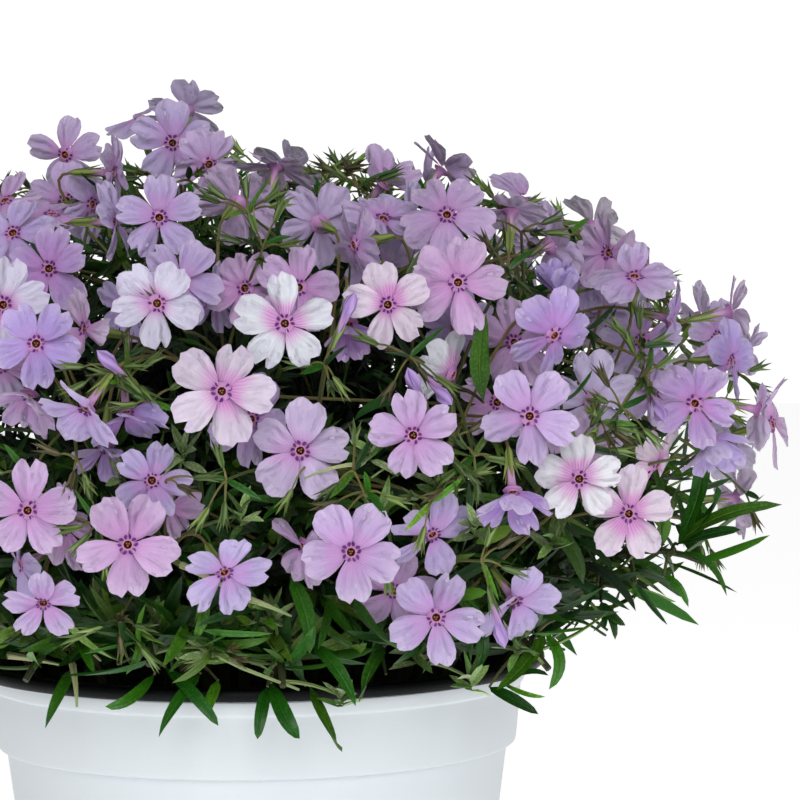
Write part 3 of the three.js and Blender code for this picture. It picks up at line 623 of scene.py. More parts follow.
ROUND_COLOURS = np.array(
    ["lavender", "lavender", "lavender", "pale", "lavender", "violet", "lavender", "white_edged"]
)


def round_flowers():
    """The flowers of the sides and back face outwards and a little up, each turned its own way."""
    d = round_places(ROUND_PLACES, ROUND_LOWEST)
    i = np.arange(ROUND_PLACES)
    swing = np.stack([draw(i, 2, -0.45, 0.45), draw(i, 3, -0.45, 0.45), draw(i, 4, -0.3, 0.5)], axis=-1)
    flowers = {
        "centre": on_dome(d, draw(i, 1, 0.9, 1.0)),
        "inward": -d,
        "facing": unit(d * [1.0, 1.0, 0.7] + swing),
        "roll": draw(i, 5, 0, 72), "fold": draw(i, 6, -8, 18), "radius": draw(i, 7, 11.2, 13.2),
        "inset": 0 * i, "colour": ROUND_COLOURS[i % len(ROUND_COLOURS)],
    }
    behind = behind_front(flowers["centre"])
    return {key: value[behind] for key, value in flowers.items()}


print("flowers that the rule offers:", len(round_flowers()["roll"]))


# %% [markdown]
# Two flowers can't share a place. To test that quickly, each one is taken as a flat disc with a line behind
# it for its tube. Where two discs cross, or a tube runs through a disc, the new flower is set back a little
# and tried again.

# %% Setting flowers clear of one another
LEAST_SLANT, LEVEL_GAP = 0.1, 2.0  # discs that slant less are level, and cross if no further apart


def disc_of(flower):
    """A flower's petals as a flat disc, half way up them where they are folded, and its tube's end."""
    fold, radius = np.radians(flower["fold"]), flower["radius"]
    middle = flower["centre"] + flower["facing"] * np.asarray(0.5 * radius * np.sin(fold))[..., None]
    back = flower["centre"] - flower["facing"] * CALYX_BACK
    reach = radius * np.cos(fold) + PETAL_CLEARANCE
    return {"middle": middle, "facing": flower["facing"], "reach": reach, "back": back}


def pierces(start, end, disc):
    """Where the straight lines from start to end run through discs."""
    before = np.sum((start - disc["middle"]) * disc["facing"], axis=-1)
    after = np.sum((end - disc["middle"]) * disc["facing"], axis=-1)
    apart = np.where(before == after, 1.0, before - after)
    meets = start + (end - start) * (before / apart)[..., None]
    return (before * after <= 0) & (np.linalg.norm(meets - disc["middle"], axis=-1) < disc["reach"])


def discs_cross(a, b):
    """Where disc a crosses discs b: the lines that they cut in each other's planes overlap."""
    gap = b["middle"] - a["middle"]
    line = np.cross(a["facing"], b["facing"])
    slant = np.linalg.norm(line, axis=-1)
    off_a = np.abs(gap @ a["facing"])
    level = (off_a < LEVEL_GAP) & (np.linalg.norm(gap, axis=-1) < a["reach"] + b["reach"])
    safe = np.maximum(slant, LEAST_SLANT)
    away_a = np.abs(np.sum(gap * b["facing"], axis=-1)) / safe
    away_b = off_a / safe
    half_a = np.sqrt(np.maximum(a["reach"] ** 2 - away_a**2, 0))
    half_b = np.sqrt(np.maximum(b["reach"] ** 2 - away_b**2, 0))
    overlap = np.abs(np.sum(gap * line, axis=-1)) / safe < half_a + half_b
    return np.where(slant < LEAST_SLANT, level, overlap & (away_a < a["reach"]) & (away_b < b["reach"]))


def table_of(rows):
    """Dictionaries of single values stacked into one dictionary of arrays."""
    return {key: np.array([row[key] for row in rows]) for key in rows[0]}


def rows_of(table):
    """A dictionary of arrays as one dictionary for each entry."""
    return [{key: value[i] for key, value in table.items()} for i in range(len(table["roll"]))]


def settle(flower, discs):
    """Moves a flower back by steps until it clears the discs already placed. False where it never does."""
    for _ in range(SETTLE_TRIES + 1):
        disc = disc_of(flower)
        if not discs:
            return True
        placed = table_of(discs)
        crossed = discs_cross(disc, placed) | pierces(disc["middle"], disc["back"], placed)
        if not np.any(crossed | pierces(placed["middle"], placed["back"], disc)):
            return True
        flower["centre"] = flower["centre"] + flower["inward"] * SETTLE_STEP
    return False


def placed_flowers():
    """The front flowers from the outermost in, then the round ones where there is room."""
    front = front_flowers()
    order = np.argsort(front["inset"], kind="stable")
    kept, discs = [], []
    for flower in rows_of({key: value[order] for key, value in front.items()}):
        if settle(flower, discs):
            kept.append(flower)
            discs.append(disc_of(flower))
    for flower in rows_of(round_flowers()):
        gaps = [np.linalg.norm(flower["centre"] - other["centre"]) for other in kept]
        if min(gaps) >= ROUND_SPACING and settle(flower, discs):
            kept.append(flower)
            discs.append(disc_of(flower))
    return table_of(kept), table_of(discs)


flowers, discs = placed_flowers()
print("flowers:", len(flowers["roll"]))


# %% Curves of the stems
def soil_height(radius):
    """Height of the potting mix: a low crown that falls with the square of the distance from the axis."""
    return SOIL_EDGE + SOIL_CROWN * (1 - (radius / SOIL_RADIUS) ** 2)


def flowering_stems():
    """Foot, bend and tip of each flowering stem, crowded a little towards the front."""
    even = round_places(FLOWERING_SHOOTS, FLOWERING_LOWEST)
    from_front = np.arctan2(even[:, 0], -even[:, 1])
    azimuth = from_front - FRONT_CROWDING * np.sin(from_front) - np.pi / 2
    tip = on_dome(polar(np.hypot(even[:, 0], even[:, 1]), azimuth, even[:, 2]), TIP_DEPTH)
    radius = FLOWERING_RING * np.sqrt((np.arange(FLOWERING_SHOOTS) + 0.5) / FLOWERING_SHOOTS)
    foot = polar(radius, azimuth, soil_height(radius) - ROOT_DEPTH)
    return np.stack([foot, foot + (tip - foot) * [0.25, 0.25, 0.75], tip], axis=1)


def leafy_stems():
    """Foot, bend and tip of each leafy stem: up out of the mix, then out over the lip."""
    azimuth, reach, height = np.array(LEAFY_TIPS, float).T
    azimuth = np.radians(azimuth)
    foot = polar(LEAFY_RING, azimuth, soil_height(LEAFY_RING) - ROOT_DEPTH)
    bend = polar(0.68 * reach + 6, azimuth, LEVEL + 34 + 0.5 * height)
    return np.stack([foot, bend, polar(reach, azimuth, LEVEL + height)], axis=1)


def stem_point(stems, share, steps):
    """Points at a share along stems that run straight between their rings."""
    before = np.floor(share * steps)
    low = bezier(stems[..., 0, :], stems[..., 1, :], stems[..., 2, :], before / steps)
    high = bezier(stems[..., 0, :], stems[..., 1, :], stems[..., 2, :], (before + 1) / steps)
    return low + (high - low) * np.asarray(share * steps - before)[..., None]


def stem_heading(stems, share):
    """The direction of stems at a share along them."""
    share = np.asarray(share)[..., None]
    first = (stems[..., 1, :] - stems[..., 0, :]) * (1 - share)
    return unit(first + (stems[..., 2, :] - stems[..., 1, :]) * share)


stems = np.concatenate([flowering_stems(), leafy_stems()])
SHOOTS = len(stems)
print("stems:", SHOOTS, "of which", FLOWERING_SHOOTS, "flower")


# %% Where each flower's stalk begins
def stalks_of(flowers, discs):
    """For each flower in turn, the nearest free anchor that its stalk reaches in the clear, and its shoot.

    Nearness is twice the distance plus how far the stalk runs the way that the flower faces.
    """
    shoot = np.repeat(np.arange(FLOWERING_SHOOTS), len(ANCHOR_SHARES))
    places = stem_point(stems[shoot], np.tile(ANCHOR_SHARES, FLOWERING_SHOOTS), FLOWERING_STEPS)
    anchors, owners, taken = [], [], np.zeros((0, 3))
    samples = np.linspace(0, 1, STALK_SAMPLES)[:, None]
    for i, facing in enumerate(flowers["facing"]):
        back = discs["back"][i]
        cost = 2 * np.linalg.norm(places - back, axis=-1) + (places - back) @ facing
        others = {key: np.delete(value, i, axis=0) for key, value in discs.items()}
        order = np.argsort(cost, kind="stable")
        chosen = order[0]
        for candidate in order:
            line = back + (places[candidate] - back) * samples
            gaps = np.linalg.norm(line[:-1, None] - taken[None], axis=-1)
            if np.all(gaps > STALK_CLEARANCE) and not np.any(pierces(back, places[candidate], others)):
                chosen = candidate
                break
        anchors.append(places[chosen])
        owners.append(shoot[chosen])
        taken = np.concatenate([taken, back + (places[chosen] - back) * samples])
        places, shoot = np.delete(places, chosen, axis=0), np.delete(shoot, chosen)
    return np.array(anchors), np.array(owners)


anchors, flower_shoot = stalks_of(flowers, discs)
longest = np.linalg.norm(anchors - discs["back"], axis=-1).max()
print("stalks:", len(anchors), "the longest", round(float(longest), 1), "mm")

# %% [markdown]
# ## Petals
#
# Each flower spreads five petals from the mouth of its tube. A petal is wedge shaped, broadest near its end,
# with a notch at the tip, small uneven teeth beside it and a gentle crinkle. It could be cut from a plane
# and bent with modifiers, but a formula gives all of them their own notch and twist in one go. A square grid
# is pressed into a round one, so that its rim runs evenly round the petal without a corner.
#
# The front and the back are two such grids that share their rim. So the petal is closed and has a thickness,
# and it still thins to an edge.

# %% The petal's grid and outline
PETALS = 5
COLUMN_PLACES = np.array([-1, -0.8, -0.56, -0.28, 0, 0.28, 0.56, 0.8, 1])
PETAL_ROWS, PETAL_COLUMNS = 5, len(COLUMN_PLACES)
PETAL_HALF_WIDTH = 0.37  # of the flower's radius
NOTCH_DEPTH, NOTCH_HALF_WIDTH, NOTCH_SHIFT = 0.13, 0.13, 0.2
TEETH_DEPTH = 0.03
PETAL_THICKNESS = 0.35
PETAL_LIFT = 0.5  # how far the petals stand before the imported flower's plane

square_t, square_y = np.meshgrid(np.linspace(-1, 1, PETAL_ROWS), COLUMN_PLACES, indexing="ij")
petal_t = (square_t * np.sqrt(1 - square_y**2 / 2) + 1) / 2  # 0 at the mouth, 1 at the tip
petal_y = square_y * np.sqrt(1 - square_t**2 / 2)  # -1 and 1 at the sides


def petal_outline(half_width, notch, shift):
    """Shares of the flower's radius, along and across.

    Along is 0.1 + 0.9t less a notch that fades quickly inwards; across is y times a width that grows with t.
    """
    cut = notch * np.exp(-(((petal_y - shift) / NOTCH_HALF_WIDTH) ** 2)) * petal_t**6
    teeth = TEETH_DEPTH * np.sin(11 * petal_y + 25 * shift) * petal_t**6
    return 0.1 + 0.9 * petal_t - cut + teeth, petal_y * half_width * (0.54 + 0.74 * petal_t)


print("petal grid:", PETAL_ROWS, "by", PETAL_COLUMNS)


# %% Petals bent and set round their flowers
def flower_frame(flowers):
    """Each flower's own up and right directions, square to the way that it faces."""
    facing = flowers["facing"]
    helper = np.where(np.abs(facing[:, 2:]) < 0.95, UP, [0.0, 1.0, 0.0])
    side = square_to(helper, facing)
    return side, np.cross(side, facing)


def over_grid(values):
    """One number or vector for each petal, shaped so that it spreads over that petal's grid."""
    return np.asarray(values)[:, None, None]


def petals(flowers):
    """Points of every petal: the front grid, then the back grid's inner points a hair behind.

    Height over the flower's plane is the fold's slope, plus an arch across the petal, a droop along it, a
    twist that lifts one side over its neighbour, and a little waviness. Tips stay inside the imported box.
    """
    count = len(flowers["roll"])
    side, right = flower_frame(flowers)
    i = np.repeat(np.arange(count), PETALS)
    number = np.arange(PETALS * count)
    place = 360 / PETALS * (number % PETALS)
    angle = np.radians(flowers["roll"][i] + place + draw(number, 1, -5, 5))[:, None]
    facing = flowers["facing"][i]
    out = np.cos(angle) * side[i] + np.sin(angle) * right[i]
    across_way = np.cross(out, facing)
    half_width = PETAL_HALF_WIDTH * over_grid(draw(number, 2, 0.86, 1.14))
    notch = over_grid(draw(number, 3, 0.3, 1.5)) * NOTCH_DEPTH
    shift = over_grid(NOTCH_SHIFT * np.round(draw(number, 4, -1.2, 1.2)))
    along, across = petal_outline(half_width, notch, shift)
    radius = over_grid(flowers["radius"][i] * draw(number, 5, 0.93, 1.0))
    fold = over_grid(np.radians(flowers["fold"][i] + draw(number, 6, -11, 9)))
    t, y = petal_t[None], petal_y[None]
    arch = over_grid(draw(number, 7, -0.2, 0.12)) * y**2
    droop = over_grid(draw(number, 8, -0.3, 0.12)) * t**2
    twist = (0.05 + over_grid(draw(number, 9, -0.09, 0.12)) * t) * y
    crinkle = 0.04 * np.sin(7 * t + 5 * y + over_grid(draw(number, 10, 0, 6))) * t
    height = radius * (arch + droop + twist + crinkle)
    reach = radius * along
    flat = reach * np.cos(fold) - height * np.sin(fold)
    lift = reach * np.sin(fold) + height * np.cos(fold) + PETAL_LIFT
    front = (
        over_grid(flowers["centre"][i]) + flat[..., None] * over_grid(out)
        + (radius * across)[..., None] * over_grid(across_way) + lift[..., None] * over_grid(facing)
    )
    back = front[:, 1:-1, 1:-1] - PETAL_THICKNESS * over_grid(facing) * (1.1 - petal_t[1:-1, 1:-1, None])
    points = np.concatenate([front.reshape(len(i), -1, 3), back.reshape(len(i), -1, 3)], axis=1)
    return np.clip(points, box_low, box_high), i


chart_along, chart_across = petal_outline(PETAL_HALF_WIDTH, NOTCH_DEPTH, 0.0)
petal_chart = np.stack([0.5 + chart_across, chart_along], axis=-1)
petal_faces = sheet_faces(PETAL_ROWS, PETAL_COLUMNS, petal_chart)
petal_points, petal_flower = petals(flowers)
print("petals:", len(petal_points), "with", len(petal_faces[1]), "faces each")

# %% [markdown]
# The colour changes from flower to flower. Most are lavender, some nearly white with a pink throat, and the
# shaded ones a deeper violet. Every petal also differs a little from its neighbours.

# %% Petal colours
# Each kind's tint, and how strongly its throat blushes.
PETAL_TINTS = {
    "lavender": ("#ba9ed0", 0.42), "white": ("#dedce4", 1.0), "white_edged": ("#d4c8de", 1.0),
    "pale": ("#c3add4", 0.6), "lilac": ("#ab8cca", 0.4), "violet": ("#9e7cc2", 0.35),
}
flower_tint = np.array([srgb(PETAL_TINTS[name][0]) for name in flowers["colour"]])
flower_blush = np.array([PETAL_TINTS[name][1] for name in flowers["colour"]])
number = np.arange(len(petal_points))
petal_tint = flower_tint[petal_flower] * draw(number, 12, 0.86, 1.08)[:, None]
petal_tint = petal_tint * (1 + draw(petal_flower, 13, -0.1, 0.1)[:, None] * np.array([1.0, -0.3, -0.6]))
skins = [
    Skin(["petal_face", "petal_back"], petal_points, petal_faces, np.minimum(petal_tint, 1.0),
         flower_shoot[petal_flower], flower_blush[petal_flower][:, None])
]
for name in PETAL_TINTS:
    print(name + ":", int(np.sum(flowers["colour"] == name)), "flowers")

# %% [markdown]
# ## Tube, anthers, calyx and stalk
#
# Behind the petals a narrow tube reaches back into the calyx, five pointed green sepals joined at their
# bases. Three anthers show in the mouth. The tube and the calyx are turned shapes: a short profile carried
# round the flower's own axis, which is what a lathe would do. At its mouth the tube spreads into a narrow
# flange behind the petals' bases, so that nothing shows through the gaps between them.

# %% Turned parts of a flower
def turned(flowers, profile, sides):
    """Closed turned shapes about each flower's axis, from heights and radii that may differ round the ring.

    A point is centre + height * facing + radius * (cos a side - sin a right). The first and last rows of the
    profile are single points on the axis.
    """
    side, right = flower_frame(flowers)
    facing, centre = flowers["facing"][:, None, None], flowers["centre"][:, None, None]
    angle = np.radians(flowers["roll"])[:, None] + 2 * np.pi * np.arange(sides) / sides
    circle = np.cos(angle)[..., None] * side[:, None] - np.sin(angle)[..., None] * right[:, None]
    height = np.array([np.broadcast_to(row[0], sides) for row in profile])[None, ..., None]
    radius = np.array([np.broadcast_to(row[1], sides) for row in profile])[None, ..., None]
    rings = centre + height * facing + radius * circle[:, None]
    count = len(rings)
    return np.concatenate([rings[:, 0, :1], rings[:, 1:-1].reshape(count, -1, 3), rings[:, -1, :1]], axis=1)


TUBE_SIDES, CALYX_SIDES, STALK_SIDES, ANTHER_SIDES = 8, 10, 5, 4
TUBE = [
    (-8, 0), (-8, 0.8), (-3, 1.0), (-1, 1.2), (-0.1, 2.6), (0.1, 2.5), (0.3, 1.5), (0.62, 1.4), (0.6, 1.15),
    (-0.3, 0.9), (-1.6, 0.75), (-1.7, 0),
]
tooth = np.arange(CALYX_SIDES) % 2 == 0
CALYX = [
    (-CALYX_BACK - 0.2, 0), (-CALYX_BACK, 0.5), (-10.4, 1.05), (-7.6, np.where(tooth, 1.3, 1.0)),
    (np.where(tooth, -2.2, -6.6), np.where(tooth, 2.4, 1.1)),
    (np.where(tooth, -6.2, -6.9), 1.0), (-7.2, 0),
]
tubes = turned(flowers, TUBE, TUBE_SIDES)
calyces = turned(flowers, CALYX, CALYX_SIDES)
skins.append(spindles("flower_tube", tubes, TUBE_SIDES, flower_tint, flower_shoot))
skins.append(spindles("calyx", calyces, CALYX_SIDES, srgb("#7f9044"), flower_shoot))
print("tubes:", len(tubes), "calyces:", len(calyces))

# %% Anthers
ANTHERS = 3
ANTHER_RADIUS, ANTHER_LENGTH, ANTHER_LEAN = 0.28, 1.7, 0.25
ANTHER_SINK = 1.2  # how far down the mouth an anther's foot stands


def anthers_of(flowers):
    """Thin spindles that lean outwards from inside the mouth, and the number of each one's flower."""
    side, right = flower_frame(flowers)
    i = np.repeat(np.arange(len(side)), ANTHERS)
    turn = np.radians(flowers["roll"][i] + 30 + 120 * (np.arange(len(i)) % ANTHERS))[:, None]
    out = np.cos(turn) * side[i] + np.sin(turn) * right[i]
    facing = flowers["facing"][i]
    foot = flowers["centre"][i] + ANTHER_LEAN * out - ANTHER_SINK * facing
    head = foot + ANTHER_LEAN * out + ANTHER_LENGTH * facing
    path = foot[:, None] + (head - foot)[:, None] * np.linspace(0, 1, 4)[:, None]
    points = swept(path[:, 1:3], np.full((len(foot), 2), ANTHER_RADIUS), ANTHER_SIDES)
    points[:, 0], points[:, -1] = foot, head
    return points, i


anthers, anther_flower = anthers_of(flowers)
skins.append(spindles("anther", anthers, ANTHER_SIDES, srgb("#d98f2e"), flower_shoot[anther_flower]))
print("anthers:", len(anthers))

# %% Flower stalks
STALK_RADIUS = 0.45
STALK_STATIONS = 8
STALK_SINK = 0.4  # how far a stalk's end stands in its calyx
BEND_SHARE, BEND_MOST = 0.4, 12  # how far behind the flower its stalk bends: a share of its span, or less
stalk_start = discs["back"] + STALK_SINK * flowers["facing"]
stalk_span = np.linalg.norm(anchors - stalk_start, axis=-1, keepdims=True)
stalk_bend = stalk_start - flowers["facing"] * np.minimum(BEND_SHARE * stalk_span, BEND_MOST)
stations = np.linspace(0, 1, STALK_STATIONS)[None]
stalk_paths = bezier(stalk_start[:, None], stalk_bend[:, None], anchors[:, None], stations)
stalk_radii = np.full(stalk_paths.shape[:2], STALK_RADIUS)
stalks = swept(stalk_paths, stalk_radii, STALK_SIDES)
skins.append(spindles("stem", stalks, STALK_SIDES, srgb("#6d6a3a"), flower_shoot))
print("stalks:", len(stalks))

# %% [markdown]
# ## Stems and leaves
#
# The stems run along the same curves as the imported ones. Leaves are narrow, pointed and stiff, keeled along
# the midrib, and stand in pairs, each pair a quarter turn from the last. A leaf is a spindle with a section
# of four points: two edges, the midrib's top and its underside, so it is closed and has real thickness.

# %% Stems
STEM_STATIONS, STEM_SIDES = 13, 6
STEM_RADIUS, STEM_TAPER = 1.6, 0.7
share = np.linspace(0, 1, STEM_STATIONS)[None]
stem_paths = bezier(stems[:, None, 0], stems[:, None, 1], stems[:, None, 2], share)
stem_radii = np.broadcast_to(STEM_RADIUS - STEM_TAPER * share, stem_paths.shape[:2])
stem_tubes = swept(stem_paths, stem_radii, STEM_SIDES)
# The stems' dark olive is partly their own colour and partly painted shade, for the depth they stand at.
skins.append(spindles("stem", stem_tubes, STEM_SIDES, srgb("#2e3517"), np.arange(SHOOTS)))
print("stems:", len(stem_tubes))


# %% Leaf blades
LEAF_KEEL = 0.35
LEAF_DISH = 0.25  # how far the edges stand above the midrib, for the leaf's half width
LEAF_SIDES = 4  # the section's four points


def blades(path, up, width, stations, twist):
    """Closed leaf blades along curves given by their root, bend and tip.

    Half the width is w / 2 times sqrt(sin(pi s^0.8)) at share s. The edges stand LEAF_DISH of that above the
    midrib, the underside lies LEAF_KEEL below it, and the blade turns about its midrib by s times its twist.
    """
    s = np.linspace(0, 1, stations + 2)
    curve = bezier(path[:, None, 0], path[:, None, 1], path[:, None, 2], s[None])
    heading = unit(np.gradient(curve, axis=1))
    over = square_to(up[:, None], heading)
    turn = (np.radians(twist)[:, None] * s)[..., None]
    over = over * np.cos(turn) + np.cross(over, heading) * np.sin(turn)
    left = np.cross(over, heading)
    half = np.sqrt(np.sin(np.pi * s[1:-1] ** 0.8))[None, :, None] * np.asarray(width)[:, None, None] / 2
    middle, over, left = curve[:, 1:-1], over[:, 1:-1], left[:, 1:-1]
    section = [
        middle + half * (left + LEAF_DISH * over), middle,
        middle + half * (LEAF_DISH * over - left), middle - LEAF_KEEL * over,
    ]
    rings = np.stack(section, axis=2).reshape(len(curve), -1, 3)
    return np.concatenate([curve[:, :1], rings, curve[:, -1:]], axis=1)


def pair_of(point, heading, angle, length, lift, curl, seed):
    """Paths and upper sides of two opposite leaves at each point of a stem.

    A leaf leaves the stem along out * cos(lift) + heading * sin(lift), and by its tip it has bent back by
    the curl. Its upper side faces the stem's tip.
    """
    helper = np.where(np.abs(heading[:, 2:]) < 0.9, UP, [1.0, 0.0, 0.0])
    first = square_to(helper, heading)
    second = np.cross(heading, first)
    paths, ups = [], []
    for sign in (0, 1):
        turn = np.radians(angle + 180 * sign + draw(seed, 17 + sign, -16, 16))[:, None]
        out = np.cos(turn) * first + np.sin(turn) * second
        reach = (length * draw(seed, 4 + sign, 0.8, 1.15))[:, None]
        way = np.radians(lift + draw(seed, 7 + sign, -18, 18))[:, None]
        back = way - np.radians(curl * draw(seed, 11 + sign, -0.3, 2.2))[:, None]
        sideways = draw(seed, 14 + sign, -0.14, 0.14)[:, None] * np.cross(heading, out)
        root = point - 0.4 * out
        bend = root + 0.45 * reach * (np.cos(way) * out + np.sin(way) * heading)
        tip = bend + 0.55 * reach * (np.cos(back) * out + np.sin(back) * heading + sideways)
        paths.append(np.stack([root, bend, tip], axis=1))
        ups.append(heading * np.cos(way) - out * np.sin(way))
    return np.concatenate(paths), np.concatenate(ups)


# %% [markdown]
# A real leaf grows round whatever is in its way. Here a leaf is left out where it would run into a flower or
# a pot. The lip's front is kept free too, as only the leaves listed one by one may hang over it.

# %% Keeping leaves out of flowers and pots, and inside the plant's own box
FLOWER_ROOM = 14.0  # how far in front of a flower no leaf stands
PETAL_REACH, COVER_REACH = 0.95, 0.85  # shares of a flower's size that leaves don't pierce, or cover
POT_GAP_OUT, POT_GAP_UP = 1.2, 0.4  # how far leaves stay off the pots
LIP_VIEW_Y = -30.0  # in front of this, no leaf hangs over the lip unless it was placed there
LIP_NEAR_UP, LIP_NEAR_IN = 6.0, 8.0  # how near above the lip, or inside it, counts as over it
RIGHT_OUT, RIGHT_BACK = 2.0, 30.0  # where the space beyond the right end of the lip starts and ends
BARE_RIGHT = 20.0  # in that space, leaves keep this high above LEVEL


def clears_flowers(start, end):
    """True where the line from start to end runs through no flower, and doesn't end just in front of one."""
    disc = {"middle": discs["middle"], "facing": discs["facing"], "reach": flowers["radius"] * PETAL_REACH}
    clear = ~np.any(pierces(start[:, None], end[:, None], disc), axis=1)
    for share in (0.6, 1.0):
        point = start + (end - start) * share
        away = point[:, None] - disc["middle"]
        before = np.sum(away * disc["facing"], axis=-1)
        beside = np.linalg.norm(away - before[..., None] * disc["facing"], axis=-1)
        covered = (before > 0) & (before < FLOWER_ROOM) & (beside < COVER_REACH * disc["reach"])
        clear &= ~np.any(covered, axis=1)
    return clear


def inside_box(points):
    """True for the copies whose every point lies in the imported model's box."""
    return np.all((points > box_low) & (points < box_high), axis=(1, 2))


def inside_pots(points):
    """True for the copies that dip below the lip inside the pots' walls."""
    radius = np.hypot(points[..., 0], points[..., 1])
    low = points[..., 2] < POT_HEIGHT + LIP_HEIGHT + POT_GAP_UP
    return np.any((radius < LIP_RADIUS + POT_GAP_OUT) & low, axis=1)


def hangs_in_front(points):
    """True for the copies that hang over the lip's front, where it is bare, or low beyond its right end."""
    x, y, z = np.moveaxis(points, -1, 0)
    near_lip = (z < POT_HEIGHT + LIP_HEIGHT + LIP_NEAR_UP) & (np.hypot(x, y) > LIP_RADIUS - LIP_NEAR_IN)
    at_right = (x > LIP_RADIUS + RIGHT_OUT) & (y < RIGHT_BACK) & (z < LEVEL + BARE_RIGHT)
    return np.any((near_lip & (y < LIP_VIEW_Y)) | at_right, axis=1)


# %% [markdown]
# Light hardly reaches into the dome. So the own tint of a green part is painted darker with its depth, a
# painted shade on top of the shade that the render gives it. Among the top flowers on the front, where the
# flowers shade the greens, their tints get painted shade too.

# %% Painted shade and tints
SHADE_FROM, SHADE_TO, DEEPEST = 0.46, 0.92, 0.07  # shares of the way out that the painted shade fades over, and the share of the tint left in the depth
TOP_FROM, TOP_TO, TOP_PAINTED_SHADE = 60.0, 110.0, 0.35  # two heights above LEVEL, and the share of the tint taken off as painted shade among the top flowers
TOP_SHADE_DEPTH = 60.0  # how far in front of the axis that painted shade is full
LEAF_TWIST = 70  # degrees at most, either way
LEAF_TINTS = palette("#2c6808", "#1d5506", "#427911", "#124604", "#5f8a24")


def shade_at(points):
    """The painted shade of a green part, as a factor on its tint: dark deep in the dome, darker among top
    flowers.
    """
    out = (dome_share(points - DOME_CENTRE) - SHADE_FROM) / (SHADE_TO - SHADE_FROM)
    rise = np.clip((points[:, 2] - LEVEL - TOP_FROM) / (TOP_TO - TOP_FROM), 0, 1)
    rise = rise * np.clip(-points[:, 1] / TOP_SHADE_DEPTH, 0, 1)
    return ((DEEPEST + (1 - DEEPEST) * np.clip(out, 0, 1) ** 1.4) * (1 - TOP_PAINTED_SHADE * rise))[:, None]


def picked(tints, seed, key):
    """One of the tints for each seed."""
    return tints[draw(seed, key, 0, len(tints) - 0.01).astype(int)]


def add_leaves(path, up, width, stations, shoot, sort, placed=False, tints=LEAF_TINTS):
    """Adds leaf blades as a skin, less those that run into flowers, the pots or out of the box."""
    seed = np.arange(len(path))
    points = blades(path, up, width, stations, draw(seed, 33, -LEAF_TWIST, LEAF_TWIST))
    keep = inside_box(points) & ~inside_pots(points)
    if not placed:
        keep &= clears_flowers(path[:, 0], path[:, 2]) & ~hangs_in_front(points)
    # painted shade: the leaf's tint darkens with its depth in the dome and among the top flowers
    tint = picked(tints, seed, 31) * shade_at(path.mean(axis=1))
    tint = tint * draw(seed, 32, 0.45, 1.35)[:, None]
    skins.append(spindles("leaf", points[keep], LEAF_SIDES, tint[keep], shoot[keep]))
    print(sort + ":", int(keep.sum()), "of", len(path), "leaves kept")


# %% Pairs along the stems
FLOWERING_PAIRS = np.array([0.3, 0.42, 0.51, 0.6, 0.7, 0.8, 0.9])
LEAFY_PAIRS = np.array([0.34, 0.43, 0.5, 0.58, 0.66, 0.74, 0.82, 0.89, 0.96])


def stem_leaves(first, last, shares, length, width, lift, steps):
    """Crossed pairs at shares of the stems of some shoots."""
    shoot = np.repeat(np.arange(first, last), len(shares))
    at = np.tile(shares, last - first)
    k = np.tile(np.arange(len(shares)), last - first)
    seed = 40 * shoot + k
    point, heading = stem_point(stems[shoot], at, steps), stem_heading(stems[shoot], at)
    path, up = pair_of(point, heading, 90 * k + draw(seed, 1, 20, 70), length, lift, 22, seed)
    double = np.concatenate([seed, seed + 7000])
    add_leaves(path, up, width * draw(double, 9, 0.8, 1.15), 6, np.tile(shoot, 2), "leaves on stems")


# First and last stem, places of the pairs, length, width, lift in degrees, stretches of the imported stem.
stem_leaves(0, FLOWERING_SHOOTS, FLOWERING_PAIRS, 22.0, 3.2, 42, FLOWERING_STEPS)
stem_leaves(FLOWERING_SHOOTS, SHOOTS, LEAFY_PAIRS, 27.0, 4.0, 30, LEAFY_STEPS)

# %% [markdown]
# ## Side shoots
#
# Between the flowers the plant is full of short side shoots, dark inside and glossy where the light reaches
# them. They can't be seen one by one, but without them the light would shine through the dome. Their tips
# are spread over the dome by golden angles, each joins the nearest stem point, and each carries crossed
# pairs up to its tip. High up, among the flowers, the leaves are short needles; low down they are straps.

# %% Twigs to the nearest stem
TWIG_STATIONS = 5
TWIG_PLACES = np.linspace(0.35, 0.97, 12)  # shares of a stem that twigs may grow from
OUTWARD_GAIN = 0.5


def nearest_on_stems(tip, outward, first, last):
    """The point of some stems that a twig to each tip grows from, and that stem's number.

    It is the one with the least distance, less OUTWARD_GAIN times how far outward the twig runs.
    """
    shoot = np.repeat(np.arange(first, last), len(TWIG_PLACES))
    places = stem_point(stems[shoot], np.tile(TWIG_PLACES, last - first), FLOWERING_STEPS)
    gap = tip[:, None] - places[None]
    cost = np.linalg.norm(gap, axis=-1) - OUTWARD_GAIN * np.sum(gap * outward[:, None], axis=-1)
    nearest = np.argmin(cost, axis=1)
    return places[nearest], shoot[nearest]


def add_twigs(root, bend, tip, radius, code, shoot, sides=4, taper=0.4):
    """Thin tubes along curves, whose radius falls by the taper's share towards their tips."""
    share = np.linspace(0, 1, TWIG_STATIONS)[None]
    path = bezier(root[:, None], bend[:, None], tip[:, None], share)
    tubes = swept(path, np.asarray(radius)[..., None] * (1 - taper * share) + 0 * path[..., 0], sides)
    # painted shade: the twig's tint darkens with its depth in the dome
    tint = srgb(code) * shade_at((root + tip) / 2) * draw(np.arange(len(root)), 35, 0.8, 1.2)[:, None]
    skins.append(spindles("stem", tubes, sides, tint, shoot))


def join_to_stems(tip, way, last, bow, radius, code):
    """Adds a twig, bowed upwards, from the nearest of the stems before last to each tip.

    Gives the number of the stem that each tip hangs on.
    """
    root, shoot = nearest_on_stems(tip, way, 0, last)
    add_twigs(root, (root + tip) / 2 + bow * UP, tip, radius, code, shoot)
    return shoot


# %% Side shoots with their leaves
LEAFY_SHARE, LAST_PAIR = 0.8, 0.995  # how much of a side shoot carries leaves, and up to where


